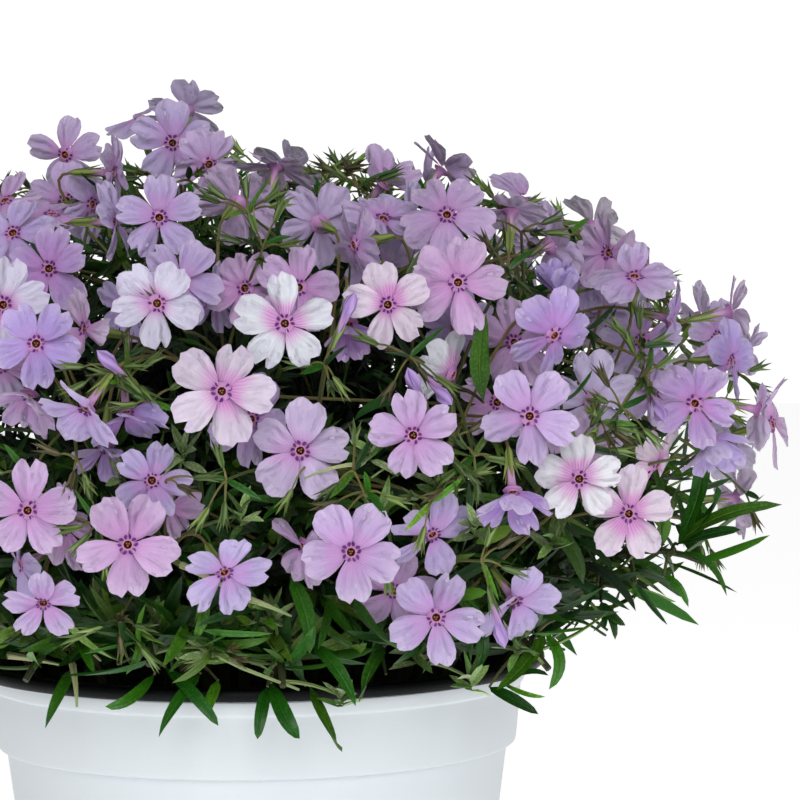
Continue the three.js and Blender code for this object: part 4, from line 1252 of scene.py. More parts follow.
def side_shoots(tip, outward, first, last, pairs, length, width, key):
    """Twigs from the nearest points of some stems to the given tips, with crossed leaf pairs along them."""
    root, owner = nearest_on_stems(tip, outward, first, last)
    i = np.arange(len(tip))
    bend = root + 0.5 * (tip - root) + UP * draw(i, key + 1, -4, 5)[:, None]
    clear = clears_flowers(root, tip)
    root, bend, tip, owner, i, length = (values[clear] for values in (root, bend, tip, owner, i, length))
    add_twigs(root, bend, tip, 0.6, "#3d5a20", owner)
    copy, k = np.repeat(np.arange(len(i)), pairs), np.tile(np.arange(pairs), len(i))
    at = np.minimum(1 - (pairs - 1 - k) * LEAFY_SHARE / pairs, LAST_PAIR)
    point = bezier(root[copy], bend[copy], tip[copy], at)
    heading = unit((bend - root)[copy] * (1 - at)[:, None] + (tip - bend)[copy] * at[:, None])
    seed = 97 * i[copy] + k + 1000 * key
    angle = 90 * k + draw(i[copy], key + 2, 0, 90)
    path, up = pair_of(point, heading, angle, length[copy], 30 + 30 * at, 18, seed)
    double = np.concatenate([seed, seed + 7000])
    broad = width * np.tile(length[copy], 2) * draw(double, 9, 0.75, 1.2)
    add_leaves(path, up, broad, 4, np.tile(owner[copy], 2), "side shoots")


# %% Filling the dome with side shoots
LOW_LEAF, HIGH_LEAF = 25.0, 11.5  # lengths at the rim and above the dome's middle
RISE_FROM, RISE_OVER = 20.0, 60.0  # above LEVEL, the height that the leaves shorten from, and over how much


def length_at(points):
    """Leaf length for a height: strap leaves near the rim, short ones above."""
    rise = np.clip((points[:, 2] - LEVEL - RISE_FROM) / RISE_OVER, 0, 1)
    return LOW_LEAF + (HIGH_LEAF - LOW_LEAF) * rise


def dome_shoots(count, lowest, near, far, pairs, width, key, front=-DOME_DEEP):
    """Side shoots of the flowering stems, with tips spread evenly through a layer of the dome."""
    d = round_places(count, lowest)
    tip = on_dome(d, draw(np.arange(count), key, near, far))
    tip, d = tip[tip[:, 1] > front], d[tip[:, 1] > front]
    side_shoots(tip, d, 0, FLOWERING_SHOOTS, pairs, length_at(tip), width, key)


def fringe(first, last, count, near, far, low, high, pairs, width, key):
    """Side shoots of some stems, with tips all round the axis between two distances and two heights."""
    i = np.arange(count)
    angle = 2 * np.pi * (i + draw(i, key + 3, -0.3, 0.3)) / count
    tip = polar(draw(i, key, near, far), angle, LEVEL + draw(i, key + 4, low, high))
    outward = polar(1.0, angle, 0 * angle)
    side_shoots(tip, outward, first, last, pairs, 0.9 * length_at(tip), width, key)


# Count, lowest angle, nearest and farthest share of the way out, pairs, width for length, key of the draws.
dome_shoots(270, 98, 0.58, 0.8, 4, 0.16, 40)
dome_shoots(420, 112, 0.22, 0.64, 6, 0.2, 50)
dome_shoots(240, 100, 0.76, 0.93, 4, 0.16, 55, front=0.0)
# First and last stem, count, nearest and farthest, lowest and highest, pairs, width for length, key.
fringe(FLOWERING_SHOOTS, SHOOTS, 84, 80, 102, 12, 36, 4, 0.15, 60)
fringe(0, FLOWERING_SHOOTS, 110, 34, 78, 16, 52, 5, 0.16, 65)
fringe(0, FLOWERING_SHOOTS, 130, 84, 110, 20, 78, 4, 0.16, 75)

# %% [markdown]
# ## Leaves that give the front its face
#
# A rule can't put a leaf just where the eye would miss it. These are listed one by one: the leaves that hang
# over the lip, the tuft that reaches out to the right, and the long olive stems that lie across the front.
# Each place is given as seen from the camera, across and up from the axis at LEVEL, with how far it stands
# out in front of the axis, and its leaves join the nearest stem by a twig.

# %% Leaves placed one by one
def seen_places(rows, column):
    """The points that one column of a list gives as across, up and out in front."""
    return seen_point(*np.array([row[column] for row in rows], float).T)


# Each leaf: where it leaves its twig, its bend, its tip, and its width.
PLACED_LEAVES = [
    ((120, 38, 34), (127, 57, 38), (123, 69, 42), 5.0), ((120, 38, 34), (130, 48, 40), (131, 55, 46), 3.6),
    ((120, 38, 34), (133, 46, 42), (150, 49, 48), 4.6), ((120, 38, 34), (130, 41, 34), (138, 42, 36), 3.4),
    ((116, 38, 34), (117, 43, 40), (116, 48, 44), 2.4), ((116, 38, 34), (112, 45, 40), (110, 50, 42), 2.4),
    ((119, 35, 34), (128, 33, 42), (134, 23, 46), 3.0), ((117, 33, 34), (127, 29, 40), (137, 24, 44), 1.4),
    ((116, 29, 36), (120, 26, 40), (123, 20, 42), 2.4), ((108, 27, 44), (112, 21, 48), (117, 15, 50), 1.8),
    ((120, 38, 34), (125, 44, 30), (124, 50, 26), 5.0), ((92, 33, 60), (101, 28, 66), (108, 19, 70), 4.6),
    ((77, 45, 66), (88, 39, 72), (93, 27, 76), 4.8), ((97, 27, 56), (94, 21, 60), (90, 14, 62), 1.4),
    ((98, 22, 56), (101, 18, 60), (105, 15, 62), 2.6), ((98, 22, 56), (101, 17, 60), (102, 11, 62), 2.4),
    ((98, 22, 56), (99, 18, 60), (99, 14, 62), 2.0), ((85, 17, 66), (93, 16, 70), (99, 12, 72), 1.4),
    ((87, 40, 64), (96, 37, 70), (101, 31, 74), 3.6), ((82, 13, 66), (86, 5, 72), (83, -3, 74), 3.4),
    ((82, 13, 66), (76, 4, 74), (68, -3, 78), 4.4), ((70, -1, 72), (77, 2, 76), (83, 1, 78), 2.6),
    ((66, -2, 76), (73, -6, 82), (80, -10, 84), 4.0), ((70, -1, 72), (76, -4, 78), (82, -5, 80), 1.4),
    ((-52, 5, 72), (-56, -3, 84), (-60, -12, 86), 3.6), ((-16, 3, 84), (-23, -6, 94), (-28, -15, 95), 3.8),
    ((-26, 5, 82), (-17, -4, 94), (-11, -12, 96), 3.4), ((3, -1, 86), (1, -9, 96), (0, -16, 97), 3.4),
    ((4, 0, 86), (8, -10, 97), (12, -16, 98), 4.4), ((15, -1, 86), (20, -13, 98), (24, -20, 98), 3.6),
    ((-29, 3, 82), (-36, -4, 92), (-43, -6, 94), 3.2), ((-11, 1, 84), (-13, -5, 93), (-14, -9, 95), 3.4),
    ((10, 30, 96), (14, 19, 102), (15, 8, 102), 5.0), ((16, 11, 90), (23, 3, 98), (28, -7, 98), 4.4),
    ((36, 10, 88), (32, 2, 97), (29, -6, 97), 4.6), ((14, -1, 88), (11, 5, 92), (9, 11, 94), 3.6),
    ((3, 2, 88), (5, 7, 94), (9, 11, 96), 3.8), ((-37, 16, 84), (-33, 11, 94), (-37, 3, 94), 2.8),
    ((-35, 17, 86), (-26, 14, 98), (-13, 13, 100), 4.4), ((-5, 17, 94), (-1, 13, 100), (1, 23, 102), 2.6),
    ((65, 79, 92), (64, 91, 98), (66, 104, 102), 5.2), ((28, 74, 112), (35, 79, 116), (42, 79, 118), 3.0),
    ((87, 79, 88), (92, 82, 92), (96, 88, 92), 3.0), ((-64, 22, 66), (-60, 12, 76), (-52, 8, 80), 3.6),
    ((-20, 30, 92), (-15, 22, 100), (-18, 12, 100), 3.6), ((45, 22, 88), (50, 12, 94), (47, 2, 92), 4.2),
    ((58, 20, 80), (64, 12, 86), (62, 2, 86), 3.8), ((28, 24, 94), (34, 14, 100), (44, 8, 98), 4.0),
]
root, middle, tip = (seen_places(PLACED_LEAVES, k) for k in range(3))
leaf_width = np.array([row[3] for row in PLACED_LEAVES])
toward_eye = unit(EYE - root)
leaf_shoot = join_to_stems(root, toward_eye, SHOOTS, 3, 0.7, "#5a6430")
leaf_path = np.stack([root, 2 * middle - (root + tip) / 2, tip], axis=1)  # a curve through the middle
leaf_up = unit(0.7 * toward_eye + UP)
add_leaves(leaf_path, leaf_up, leaf_width, 7, leaf_shoot, "placed leaves", True, LEAF_TINTS[:4])

# %% Long olive stems across the front
# Each stem: its start, its bend, its end, and its radius.
LOOSE_STEMS = [
    ((-21, 34, 98), (-14, 31, 104), (-1, 23, 104), 1.0), ((-2, 24, 102), (4, 22, 105), (10, 19, 102), 0.9),
    ((-34, 26, 88), (-22, 10, 98), (12, -2, 95), 1.2), ((-47, 25, 80), (-37, 20, 88), (-22, 7, 92), 1.0),
    ((-55, 18, 74), (-49, 12, 80), (-44, 7, 80), 0.9), ((-70, 9, 62), (-63, 8, 66), (-55, 6, 72), 1.1),
    ((-52, 6, 74), (-51, 0, 84), (-51, -6, 86), 1.0), ((30, 62, 118), (22, 62, 122), (14, 58, 120), 0.7),
    ((54, 66, 108), (44, 67, 114), (33, 58, 116), 0.7), ((48, 16, 90), (56, 13, 92), (66, 15, 86), 0.9),
]
start, bend, end = (seen_places(LOOSE_STEMS, k) for k in range(3))
radius = np.array([row[3] for row in LOOSE_STEMS])
foot, loose_shoot = nearest_on_stems(start, unit(EYE - start), 0, SHOOTS)
add_twigs(foot, start - 0.3 * (bend - start), start, 1.3 * radius, "#74904a", loose_shoot, sides=6)
add_twigs(start, bend, end, radius, "#a3bb7c", loose_shoot, sides=6, taper=0.7)
print("loose stems:", len(LOOSE_STEMS))

# %% [markdown]
# A young shoot ends in a rosette: its last pairs of leaves are short, pale green and still close together,
# each pair a quarter turn from the last. They brighten the dark places between the flowers.

# %% Fresh rosettes at the tips of young shoots
ROSETTES = [
    (-29, 17, 92), (-13, 10, 96), (61, 0, 88), (24, -4, 96), (-44, 23, 84), (45, 8, 94), (-60, 12, 78),
    (74, 10, 80), (5, 20, 98), (-20, 66, 112), (33, 66, 118), (52, 56, 112), (62, 44, 106), (-4, 48, 114),
    (36, 50, 118), (100, 62, 76), (-38, 60, 104), (84, 40, 90),
]
ROSETTE_PAIRS, PAIR_SPACING = 4, 1.2
ROSETTE_LEAF, ROSETTE_WIDTH = 8.0, 2.3
ROSETTE_TINTS = palette("#759a4a", "#8ba963", "#5c8838")
rosette = seen_point(*np.array(ROSETTES, float).T)
way = unit(0.6 * unit(EYE - rosette) + 0.8 * UP)
rosette_shoot = join_to_stems(rosette, way, SHOOTS, 2, 0.6, "#6c8944")
copy, k = np.repeat(np.arange(len(rosette)), ROSETTE_PAIRS), np.tile(np.arange(ROSETTE_PAIRS), len(rosette))
point = rosette[copy] - PAIR_SPACING * (ROSETTE_PAIRS - 1 - k)[:, None] * way[copy]
angle, length, seed = 90 * k + 25 * copy, ROSETTE_LEAF * draw(copy, 21, 0.8, 1.3), 17 * copy + k + 9000
path, up = pair_of(point, way[copy], angle, length, 20 + 15 * k, 20, seed)
width = np.full(len(path), ROSETTE_WIDTH)
add_leaves(path, up, width, 4, np.tile(rosette_shoot[copy], 2), "rosettes", True, ROSETTE_TINTS)

# %% [markdown]
# ## Spent flowers and buds
#
# A phlox drops its petals and keeps the calyx, so between the open flowers hang sprays of empty calyces with
# spread teeth, and here and there a bud, rolled tight like an umbrella. A spray is a knot at the end of a
# twig: its calyces stand out round it on thin stalks and nod a little.

# %% Sprays of calyces
# The sprays of the front, across and up from the axis at LEVEL. The others are spread by golden angles.
FRONT_SPRAYS = [
    (20, 144), (-1, 133), (3, 123), (-40, 90), (-50, 64), (-35, 87), (-29, 80), (28, 60), (32, 54), (53, 66),
    (62, 64), (57, 57), (110, 94), (111, 86), (122, 63), (104, 77), (64, 34), (87, 54), (50, 51), (14, 61),
    (-39, 18), (-11, 9), (40, 109), (72, 116), (-63, 60), (76, 127), (-19, 100), (98, 73), (30, 140),
    (-25, 58), (20, 90), (44, 92), (-44, 46), (36, 36), (-8, 58), (92, 66),
]
ROUND_SPRAYS, SPRAYS_LOWEST = 100, 100
SPRAY_INSET = 9.0
across, up = np.array(FRONT_SPRAYS, float).T
front_knots = seen_point(across, up, front_depth(across, up) - SPRAY_INSET)
round_ways = round_places(ROUND_SPRAYS, SPRAYS_LOWEST)
round_knots = on_dome(round_ways, draw(np.arange(ROUND_SPRAYS), 71, 0.86, 0.95))
knots = np.concatenate([front_knots, round_knots[behind_front(round_knots)]])
knot_out = unit((knots - DOME_CENTRE) / [DOME_ACROSS**2, DOME_DEEP**2, DOME_UP**2])
knot_shoot = join_to_stems(knots, knot_out, FLOWERING_SHOOTS, 4, 0.6, "#66752f")
print("sprays:", len(knots))

# %% Empty calyces of the sprays
SPRAY_CALYCES = 6
SPENT_SIZE = 0.8  # an empty calyx shrivels a little
SPRAY_MARGIN = 4.0  # how far inside the plant's box a calyx stays
HANGS_FREE = 1.15  # a calyx's painted shade is taken as if it were so much further out, since it hangs free
LIP_ROOM_UP, LIP_ROOM_OUT = 24.0, 14.0  # no calyx hangs this near the lip
CALYX_TINTS = palette("#78964a", "#8fa85c", "#5a743a", "#66603c")


def spent_flowers():
    """Centre, facing and roll of the empty calyces, with each one's number and knot, less those in the way.

    A calyx stands out along knot_out times a draw, plus a direction round the knot, less a little of UP.
    """
    knot = np.repeat(np.arange(len(knots)), SPRAY_CALYCES)
    i = np.arange(len(knot))
    first = square_to(UP + 0 * knot_out, knot_out)[knot]
    turn = (2 * np.pi * i / SPRAY_CALYCES + draw(i, 72, -0.6, 0.6))[:, None]
    ring_way = np.cos(turn) * first + np.sin(turn) * np.cross(first, knot_out[knot])
    outward, nod = draw(i, 73, 0.2, 0.9)[:, None], draw(i, 74, 0, 0.5)[:, None]
    facing = unit(knot_out[knot] * outward + ring_way - UP * nod)
    mouth = knots[knot] + facing * (SPENT_SIZE * CALYX_BACK + draw(i, 75, 3, 9))[:, None]
    inside = np.all((mouth > box_low + SPRAY_MARGIN) & (mouth < box_high - SPRAY_MARGIN), axis=1)
    low = mouth[:, 2] < POT_HEIGHT + LIP_ROOM_UP
    lip_near = low & (np.hypot(mouth[:, 0], mouth[:, 1]) < LIP_RADIUS + LIP_ROOM_OUT)
    keep = clears_flowers(knots[knot], mouth) & inside & ~lip_near
    spent = {"centre": mouth, "facing": facing, "roll": draw(i, 76, 0, 72), "number": i, "knot": knot}
    return {key: value[keep] for key, value in spent.items()}


spent = spent_flowers()
spent_shoot, knot_of = knot_shoot[spent["knot"]], knots[spent["knot"]]
spent_calyx = [(SPENT_SIZE * height, SPENT_SIZE * radius) for height, radius in CALYX]
spent_tint = picked(CALYX_TINTS, spent["number"], 77) * draw(spent["number"], 78, 0.7, 1.1)[:, None]
# painted shade on the empty calyces, from their depth in the dome
spent_tint = spent_tint * shade_at(DOME_CENTRE + HANGS_FREE * (spent["centre"] - DOME_CENTRE))
spent_points = turned(spent, spent_calyx, CALYX_SIDES)
skins.append(spindles("calyx", spent_points, CALYX_SIDES, spent_tint, spent_shoot))
heel = spent["centre"] - spent["facing"] * CALYX_BACK * SPENT_SIZE
stalk_top = heel + STALK_SINK * spent["facing"]
add_twigs(knot_of, (knot_of + heel) / 2 + 1.5 * UP, stalk_top, 0.4, "#7a8040", spent_shoot)
print("empty calyces:", len(spent_points))

# %% Buds
BUD_LENGTH = 6.5
BUD_LEVEL, BUD_BAND = 75.0, 35.0  # height above LEVEL of the band that buds show in, and half its width
BUD = [
    (-7, 0), (-7, 0.6), (-3, 0.9), (0, 1.1), (2.4, np.where(tooth, 2.0, 1.5)),
    (4.6, np.where(tooth, 1.6, 1.2)), (BUD_LENGTH, 0),
]
bud_tip = spent["centre"] + 2 * BUD_LENGTH * spent["facing"]
in_band = np.abs(knot_of[:, 2] - LEVEL - BUD_LEVEL) < BUD_BAND
bud = (spent["number"] % 9 == 0) & clears_flowers(spent["centre"], bud_tip) & in_band
bud_points = turned({key: value[bud] for key, value in spent.items()}, BUD, CALYX_SIDES)
skins.append(spindles("bud", bud_points, CALYX_SIDES, srgb("#a98cc6"), spent_shoot[bud]))
print("buds:", len(bud_points))

# %% Small leaves at the knots
KNOT_LEAF, KNOT_LEAF_WIDTH = 11.0, 1.8
seed = np.arange(len(knots))
path, up = pair_of(knots, knot_out, draw(seed, 79, 0, 180), KNOT_LEAF, 35, 22, seed + 5000)
width = np.full(len(path), KNOT_LEAF_WIDTH)
add_leaves(path, up, width, 4, np.tile(knot_shoot, 2), "leaves at the knots")

# %% [markdown]
# ## Paints of the plant
#
# Every petal reads its own chart, which runs from the flower's centre to the tip and across the petal, so
# veins, the throat's marks and the pink blush follow the petal wherever it points. The petal's own tint
# comes from its colour attribute, and that attribute's alpha says how strongly the throat blushes.

# %% Petal paints
PLEAT_DEPTH = 0.00032
paints = {}


def with_eye(paint, colour, fan, off, along, noise):
    """The front of a petal: a streaky blush round the mouth, and the eye's two dark marks on each petal."""
    patches = paint.noise(70.0, 1.0).rise(0.3, 0.7) * 0.25
    blush = (along - patches).rise(0.46, 0.06) * paint.own("tint", "Alpha")
    streaks = (fan * 60 + noise * 4).sine() * 0.15 + 0.85
    marks = ((off / along - 0.33) / 0.23) ** 2 + ((along - 0.145) / 0.04) ** 2
    colour = paint.blend(blush * streaks * 0.85, colour, srgb("#c05ab4"))
    colour = paint.blend(along.rise(0.26, 0.12) * 0.5, colour, srgb("#a452a2"))
    colour = paint.blend(marks.rise(1.5, 0.6) * 0.95, colour, srgb("#4c1468"))
    return paint.blend(along.rise(0.112, 0.104) * 0.8, colour, srgb("#b87aa6"))


def turned_away(paint, colour, along):
    """A petal's back: greyer, paler with painted light shining through it, and redder towards the tube."""
    # painted light: the back is paled as if light shone through the thin petal
    colour = paint.blend(0.35, colour, srgb("#cbbbe0"))
    return paint.blend(along.rise(0.4, 0.1) * 0.5, colour, srgb("#b98abf"))


def petal_paint(name, front):
    """The petal's own tint with fine veins and pleats, and an eye on the front.

    Shade is painted into the pleats' troughs, and a painted highlight pales the tip and the sides.
    """
    thin = {"subsurface_weight": 0.3, "subsurface_scale": 0.003, "subsurface_radius": (1.0, 0.85, 1.0)}
    paint = Paint(name, roughness=0.6, specular_ior_level=0.22, **thin)
    across, along = paint.chart()
    off = (across - 0.5).size()
    tint = paint.own("tint")
    noise = paint.noise(260.0, 2.0)
    fan = (across - 0.5) / (along + 0.25)
    veins = ((fan * 95 + noise * 2.5).sine() * 0.5 + 0.5) ** 6 * along.rise(1.05, 0.35)
    pleats = (fan * 19 + noise * 5).sine() * along.rise(0.2, 0.6)
    relief = pleats + veins * 0.2
    colour = paint.blend(veins * 0.03, tint, srgb("#9a5fae"))
    # painted shade: the pleats' troughs are darkened as if shaded
    colour = paint.blend(pleats.rise(0.3, -0.9) * 0.16, colour, paint.tinted(colour, 0.72, 0.68, 0.84))
    # painted highlight: the tip and the sides of the petal are paled as if lit
    rim = along.rise(0.55, 1.05) * 0.22 + off.rise(0.2, 0.42) * 0.12
    colour = paint.blend(rim, colour, srgb("#eadcf0"))
    if front:
        colour = with_eye(paint, colour, fan, off, along, noise)
    else:
        colour = turned_away(paint, colour, along)
    return paint.finish(colour, bump=relief, height=PLEAT_DEPTH)


paints["petal_face"] = petal_paint("petal_face", True)
paints["petal_back"] = petal_paint("petal_back", False)


# %% Tube, anther and bud paints
POLLEN_DEPTH, ROLL_DEPTH = 0.0001, 0.0003


def tube_paint():
    """Pink mauve outside, a rosy rim, and inside the mouth the dark wine of painted shade."""
    paint = Paint("flower_tube", roughness=0.5)
    _, along = paint.chart()
    outside = paint.blend(along.rise(0.1, 0.35), srgb("#c79ac0"), srgb("#b07ab0"))
    rim = paint.blend(along.rise(0.55, 0.62), outside, srgb("#ba7a9c"))
    # painted shade: the inside of the mouth is dark wine, as if shaded deep in the tube
    return paint.finish(paint.blend(along.rise(0.72, 0.78), rim, srgb("#4a1420")))


def anther_paint():
    """Orange pollen, mealy up close."""
    paint = Paint("anther", roughness=0.8)
    grain = paint.noise(3000.0, 2.0)
    colour = paint.blend(grain, srgb("#a8652e"), srgb("#d8a05c"))
    return paint.finish(colour, bump=grain, height=POLLEN_DEPTH)


def bud_paint():
    """Lavender, with the rolled petals' edges showing as slanted violet lines."""
    paint = Paint("bud", roughness=0.55)
    around, along = paint.chart()
    rolls = ((around * 5 + along * 1.4) * (2 * math.pi)).sine() * 0.5 + 0.5
    colour = paint.blend(rolls**3 * 0.7, paint.own("tint"), srgb("#7a5aa0"))
    colour = paint.blend(along.rise(0.55, 0.4) * 0.6, colour, srgb("#b688b4"))
    return paint.finish(colour, bump=rolls, height=ROLL_DEPTH)


paints["flower_tube"] = tube_paint()
paints["bud"] = bud_paint()
paints["anther"] = anther_paint()


# %% Green paints
RIB_DEPTH, GRAIN_DEPTH, LEAF_DEPTH = 0.0003, 0.0002, 0.0003


def calyx_paint():
    """Pale green between five darker ribs that run out into the teeth."""
    paint = Paint("calyx", roughness=0.5)
    around, along = paint.chart()
    ribs = ((around * (2 * math.pi * 5)).sine() * 0.5 + 0.5) ** 2
    tint = paint.own("tint")
    colour = paint.blend(ribs * 0.75, tint, paint.tinted(tint, 0.36, 0.42, 0.3))
    teeth = along.rise(0.6, 0.75) * 0.5
    colour = paint.blend(teeth, colour, paint.tinted(tint, 0.6, 0.5, 0.5))
    return paint.finish(colour, bump=ribs, height=RIB_DEPTH)


def stem_paint():
    """Olive, with reddish brown where the wood has ripened, and a faint grain along it."""
    paint = Paint("stem", roughness=0.6)
    around, along = paint.chart()
    ripe = paint.noise(45.0, 3.0) * 1.1 + along.rise(0.9, 0.1) * 0.3
    grain = (around * 40 + paint.noise(300.0, 2.0) * 3).sine() * 0.5 + 0.5
    tint = paint.own("tint")
    colour = paint.blend(ripe.rise(0.5, 1.0) * 0.7, tint, paint.tinted(tint, 1.25, 0.72, 1.1))
    colour = paint.blend(grain * 0.4, colour, paint.tinted(tint, 1.5, 1.4, 1.5))
    return paint.finish(colour, bump=grain, height=GRAIN_DEPTH)


def leaf_paint():
    """Glossy green: mottled, a lighter midrib, pale hairs with painted sheen, a duller paler underside."""
    paint = Paint("leaf", specular_ior_level=0.36)
    around, along = paint.chart()
    tint = paint.own("tint")
    mottle = paint.noise(160.0, 3.0)
    under = around.rise(0.495, 0.505)
    rib = (around - 0.25).size().rise(0.045, 0.012) * along.rise(1.0, 0.6)
    colour = paint.blend(mottle.rise(0.35, 0.75) * 0.5, tint, paint.tinted(tint, 0.22, 0.42, 0.2))
    colour = paint.blend(rib * 0.4, colour, paint.tinted(tint, 2.6, 1.9, 4.0))
    # pale hairs, and with them a painted sheen: light bluish specks over the leaf
    hairs_and_sheen = paint.noise(1300.0, 3.0, 0.6).rise(0.48, 0.64)
    colour = paint.blend(hairs_and_sheen * 0.4, colour, paint.tinted(tint, 3.2, 2.0, 5.0))
    colour = paint.blend(under * 0.5, colour, paint.tinted(tint, 1.8, 1.35, 3.0))
    roughness = under * 0.2 + mottle * 0.15 + 0.34
    relief = rib * -1.0 + mottle * 0.4 + hairs_and_sheen * 0.15
    return paint.finish(colour, roughness, relief, LEAF_DEPTH)


paints["calyx"] = calyx_paint()
paints["stem"] = stem_paint()
paints["leaf"] = leaf_paint()


# %% Paints of the pots and the mix
MOULD_DEPTH, SCRATCH_DEPTH, CLUMP_DEPTH = 0.0006, 0.0001, 0.002


def white_plastic():
    """Moulded white plastic: faintly cool, with the slow waviness and fine texture of the mould."""
    paint = Paint("white_plastic", roughness=0.42)
    wave, grain = paint.noise(14.0, 2.0), paint.noise(1500.0, 2.0)
    colour = paint.blend(wave, srgb("#ccd3d8"), srgb("#d6dce0"))
    return paint.finish(colour, grain * 0.1 + 0.38, wave + grain * 0.06, MOULD_DEPTH)


def black_plastic():
    """Thin black plastic with dust in its fine scratches."""
    paint = Paint("black_plastic", specular_ior_level=0.12)
    dust, scratch = paint.noise(60.0, 4.0), paint.noise(900.0, 2.0)
    colour = paint.blend(dust.rise(0.5, 0.8) * 0.3, srgb("#07080a"), srgb("#15171b"))
    return paint.finish(colour, scratch * 0.2 + 0.36, scratch, SCRATCH_DEPTH)


def moist_mix():
    """Dark damp peat with paler fibres and a few white grains of perlite."""
    paint = Paint("moist_mix", roughness=0.9)
    clumps, fibres = paint.noise(180.0, 5.0, 0.65), paint.noise(700.0, 4.0, 0.7)
    colour = paint.blend(clumps.rise(0.35, 0.7), srgb("#1d130c"), srgb("#4a3424"))
    colour = paint.blend(fibres.rise(0.66, 0.74) * 0.8, colour, srgb("#b9aa92"))
    return paint.finish(colour, bump=clumps + fibres * 0.5, height=CLUMP_DEPTH)


paints["white_plastic"] = white_plastic()
paints["black_plastic"] = black_plastic()
paints["moist_mix"] = moist_mix()

# %% [markdown]
# ## Pots and potting mix
#
# The white pot is one moulding with a rolled collar below its rim. The black pot inside it is thinner, and
# only its lip shows. Both are turned: a closed outline carried round the axis, with many sides so that the
# rim stays round. The potting mix is turned too, and crossed waves break its top up into crumbs.

# %% Turned pots
POT_SIDES = 144


def turned_pot(name, outline, sides, tint, paint, sharp):
    """A closed turned body from its outline of radii and heights, which starts and ends on the axis."""
    radius, height = np.array(outline, float).T
    angle = 2 * np.pi * np.arange(sides) / sides
    rings = polar(radius[1:-1, None], angle, height[1:-1, None])
    points = np.concatenate([[[0, 0, height[0]]], rings.reshape(-1, 3), [[0, 0, height[-1]]]])[None]
    return build(name, [spindles(paint, points, sides, srgb(tint), 0)], [0], paints, sharp)


# %% Outlines of the two pots
SHOULDER = POT_HEIGHT - 20
GROWER_FLOOR = 6
GROWER_FOOT, GROWER_WIDENS = 48.8, BODY_TOP_RADIUS - 53.5  # inner radius at the floor, and its growth


def grower_inner(z):
    """Radius of the black pot's inner wall, which widens evenly from its floor to its shoulder."""
    return GROWER_FOOT + (z - GROWER_FLOOR) / (SHOULDER - GROWER_FLOOR) * GROWER_WIDENS


# Radius and height, from the middle of the base, up the outside, over the rim and down the inside.
COVER_OUTLINE = [
    (0, 0), (51.8, 0), (53, 0.3), (53.7, 1.2), (54.4, 5), (BODY_TOP_RADIUS - 0.4, COLLAR_LOW - 3),
    (BODY_TOP_RADIUS, COLLAR_LOW - 0.3), (BODY_TOP_RADIUS + 0.5, COLLAR_LOW), (72.5, COLLAR_LOW),
    (73.1, COLLAR_LOW + 0.4), (73.4, COLLAR_LOW + 1.4), (74.7, POT_HEIGHT - 6), (74.9, POT_HEIGHT - 4.6),
    (75.5, POT_HEIGHT - 4.1), (75.8, POT_HEIGHT - 3.6), (RIM_RADIUS, POT_HEIGHT - 0.6),
    (75.7, POT_HEIGHT - 0.1), (75.2, POT_HEIGHT), (74.7, POT_HEIGHT - 0.2), (74.5, POT_HEIGHT - 0.8),
    (73.1, POT_HEIGHT - 7), (69.3, COLLAR_LOW - 1), (52.9, 5), (52.3, 2.6), (51, 2), (0, 2),
]
GROWER_OUTLINE = [
    (0, 6), (49.2, 6), (50, 6.6), (grower_inner(SHOULDER) + 1.2, SHOULDER), (71.2, POT_HEIGHT - 8),
    (72.2, POT_HEIGHT - 5), (73.9, POT_HEIGHT + 0.3), (79.6, POT_HEIGHT + 0.3), (80.7, POT_HEIGHT + 0.4),
    (81.2, POT_HEIGHT + 0.8), (81.5, POT_HEIGHT + 1.4), (LIP_RADIUS, POT_HEIGHT + 2),
    (81.5, POT_HEIGHT + 2.7), (81.1, POT_HEIGHT + 3.3), (80.4, POT_HEIGHT + LIP_HEIGHT),
    (76.4, POT_HEIGHT + LIP_HEIGHT),
    (75.6, POT_HEIGHT + 3.3), (74.9, POT_HEIGHT + 2.6), (72.5, POT_HEIGHT), (70.9, POT_HEIGHT - 5),
    (grower_inner(SHOULDER), SHOULDER), (grower_inner(8), 8), (48, 7.2), (0, 7.2),
]
cover_pot = turned_pot("cover_pot_moulded", COVER_OUTLINE, POT_SIDES, "#e4e8ea", "white_plastic", 30)
grower_pot = turned_pot("grower_pot_moulded", GROWER_OUTLINE, POT_SIDES, "#17181a", "black_plastic", 30)
for pot, node, slot in ((cover_pot, "cover_pot", "white_pot"), (grower_pot, "grower_pot", "black_pot")):
    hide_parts(node)
print("pots: rim radius", RIM_RADIUS, "height", POT_HEIGHT, "lip radius", LIP_RADIUS)

# %% Crumbly potting mix
MIX_SIDES, MIX_RINGS = 120, 30
MIX_LOW = GROWER_FLOOR + 1.5
CRUMB = 1.3  # height of the crumbs
CRUMB_WAVES = [(9.0, 0.5, 0.4), (4.3, 0.3, 1.9), (2.1, 0.2, 2.7)]  # each size's wavelength, share, direction
WAVE_TURN = 6.28  # a wave turns by this over its length


def crumbs(x, y):
    """Three sizes of bumps: sines of turned directions multiplied together, from 0 to 1."""
    total = 0 * x
    for size, share, turn in CRUMB_WAVES:
        u, v = x * math.cos(turn) + y * math.sin(turn), y * math.cos(turn) - x * math.sin(turn)
        wave = np.sin(u * WAVE_TURN / size + np.sin(v * 2 / size))
        total = total + share * (0.5 + 0.5 * wave * np.sin(v * WAVE_TURN / size))
    return total


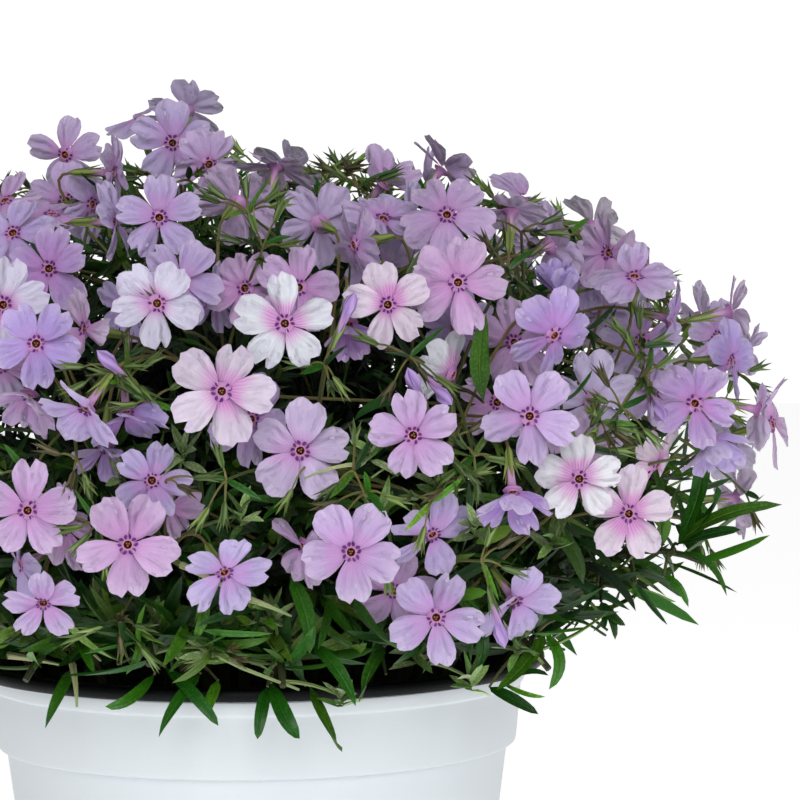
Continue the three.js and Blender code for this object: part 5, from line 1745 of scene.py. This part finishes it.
def potting_mix():
    """A plug with straight sides under a top that falls from the middle and is broken into crumbs."""
    angle = 2 * np.pi * np.arange(MIX_SIDES) / MIX_SIDES
    bottom, shoulder = grower_inner(MIX_LOW) - 1, grower_inner(SHOULDER) - 0.6
    sides = [(bottom, MIX_LOW), (shoulder, SHOULDER), (69.3, SOIL_EDGE - 2.4)]
    sides.append((SOIL_RADIUS, SOIL_EDGE - CRUMB))
    top = SOIL_RADIUS * np.linspace(0.985, 0.02, MIX_RINGS)
    radius = np.concatenate([[row[0] for row in sides], top])[:, None]
    x, y = radius * np.cos(angle), radius * np.sin(angle)
    height = np.concatenate([[row[1] for row in sides], 0 * top])[:, None] + 0 * x
    height[len(sides) :] = (soil_height(radius) - CRUMB * crumbs(x, y))[len(sides) :]
    rings = np.stack([x, y, height], axis=-1).reshape(-1, 3)
    points = np.concatenate([[[0, 0, MIX_LOW]], rings, [[0, 0, soil_height(0) - 0.5 * CRUMB]]])[None]
    skin = spindles("moist_mix", points, MIX_SIDES, srgb("#2c211a"), 0)
    return build("potting_mix_crumbs", [skin], [0], paints, 80)


mix = potting_mix()
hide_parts("potting_mix")
print("potting mix:", len(mix.data.polygons), "faces, edge at", round(SOIL_EDGE, 1), "mm")

# %% [markdown]
# ## One shoot at a time
#
# Each packed flowering shoot is replaced by two pieces: its petals with their tubes, anthers and buds, and
# everything green. A leafy shoot becomes its green piece alone. A imported node's name ends in the numbers
# of the shoots that it holds, so the skins hand over just those.

# %% Dressing the shoots
BLOOM_PAINTS = ("petal_face", "flower_tube", "anther", "bud")
blooms = [skin for skin in skins if skin.paints[0] in BLOOM_PAINTS]
greens = [skin for skin in skins if skin.paints[0] not in BLOOM_PAINTS]


def shoots_in(node):
    """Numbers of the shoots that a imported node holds, counted from 0, with leafy ones after the others."""
    first = 0 if node.startswith("flowering") else FLOWERING_SHOOTS
    return [first + int(part) - 1 for part in node.split("_")[2:]]


def dress(node):
    """Replaces one packed shoot by its fine pieces, and counts their triangles."""
    shoots = shoots_in(node)
    made = [(build(node + "_greens", greens, shoots, paints), "leafy_shoot")]
    if node.startswith("flowering"):
        made.append((build(node + "_blooms", blooms, shoots, paints), "flowering_shoot"))
    for piece, slot in made:
        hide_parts(node)
    return sum(len(piece.data.loop_triangles) for piece, _ in made)


shoot_nodes = [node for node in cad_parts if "_shoot_" in node]
triangles = [dress(node) for node in shoot_nodes]
print("shoots:", len(shoot_nodes), "triangles:", sum(triangles))

# %% [markdown]
# ## Floor and light
#
# The floor is one wide pale disc. The world gives even light from everywhere, as a white tent would, and one
# large soft lamp gives it a direction.

# %% Floor, world and lamp
FLOOR_RADIUS, FLOOR_SIDES = 4000.0, 96
FLOOR_DROP = 0.2  # below the pot's base, so that the two don't share a plane
FLOOR_GLOW = 0.66
WORLD_STRENGTH, WORLD_SHOWN = 0.31, 1.05  # what lights the plant, and what the camera sees
LAMP_POWER = 13.6
LAMP_SIZE = 0.9
LAMP_PLACE = (0.12, -1.3, 0.9)
WHITE = (1, 1, 1, 1)


def pale_floor():
    """A disc with a faint change of tone, so that it isn't dead flat, and with a glow of its own."""
    paint = Paint("pale_floor", roughness=0.8)
    tone = paint.noise(1.2, 2.0)
    paint.shader.inputs["Emission Color"].default_value = WHITE
    paint.shader.inputs["Emission Strength"].default_value = FLOOR_GLOW
    material = paint.finish(paint.blend(tone, srgb("#f4f4f5"), srgb("#fafafa")))
    angle = 2 * np.pi * np.arange(FLOOR_SIDES) / FLOOR_SIDES
    points = polar(FLOOR_RADIUS, angle, -FLOOR_DROP)
    mesh = bpy.data.meshes.new("floor")
    mesh.from_pydata((points * MM).tolist(), [], [list(range(FLOOR_SIDES))])
    mesh.materials.append(material)
    floor = bpy.data.objects.new("floor", mesh)
    bpy.context.scene.collection.objects.link(floor)


def white_tent():
    """Even white light. The camera sees it brighter than it lights, so it stays white behind the plant."""
    world = bpy.data.worlds.new("white_tent")
    world.use_nodes = True
    nodes, links = world.node_tree.nodes, world.node_tree.links
    shown, path = nodes.new("ShaderNodeBackground"), nodes.new("ShaderNodeLightPath")
    mix_in = nodes.new("ShaderNodeMixShader")
    nodes["Background"].inputs["Color"].default_value = WHITE
    nodes["Background"].inputs["Strength"].default_value = WORLD_STRENGTH
    shown.inputs["Color"].default_value = WHITE
    shown.inputs["Strength"].default_value = WORLD_SHOWN
    links.new(path.outputs["Is Camera Ray"], mix_in.inputs["Fac"])
    links.new(nodes["Background"].outputs[0], mix_in.inputs[1])
    links.new(shown.outputs[0], mix_in.inputs[2])
    links.new(mix_in.outputs[0], nodes["World Output"].inputs["Surface"])
    bpy.context.scene.world = world


def soft_lamp():
    """A square area lamp, aimed at the dome."""
    lamp = bpy.data.lights.new("soft_lamp", "AREA")
    lamp.shape, lamp.size, lamp.energy = "SQUARE", LAMP_SIZE, LAMP_POWER
    aim(bpy.data.objects.new("soft_lamp", lamp), LAMP_PLACE, tuple(DOME_CENTRE * MM))


pale_floor()
white_tent()
soft_lamp()
bpy.context.scene.view_settings.view_transform = "Standard"
print("world strength", WORLD_STRENGTH, "lamp", LAMP_POWER, "W")

# %% [markdown]
# ## Closing the scene
#
# The imported model's box is printed once more, at the end.

# %% Sizes and finish
print("packed box:", [round(v * 1000, 1) for corner in cad_box for v in corner])
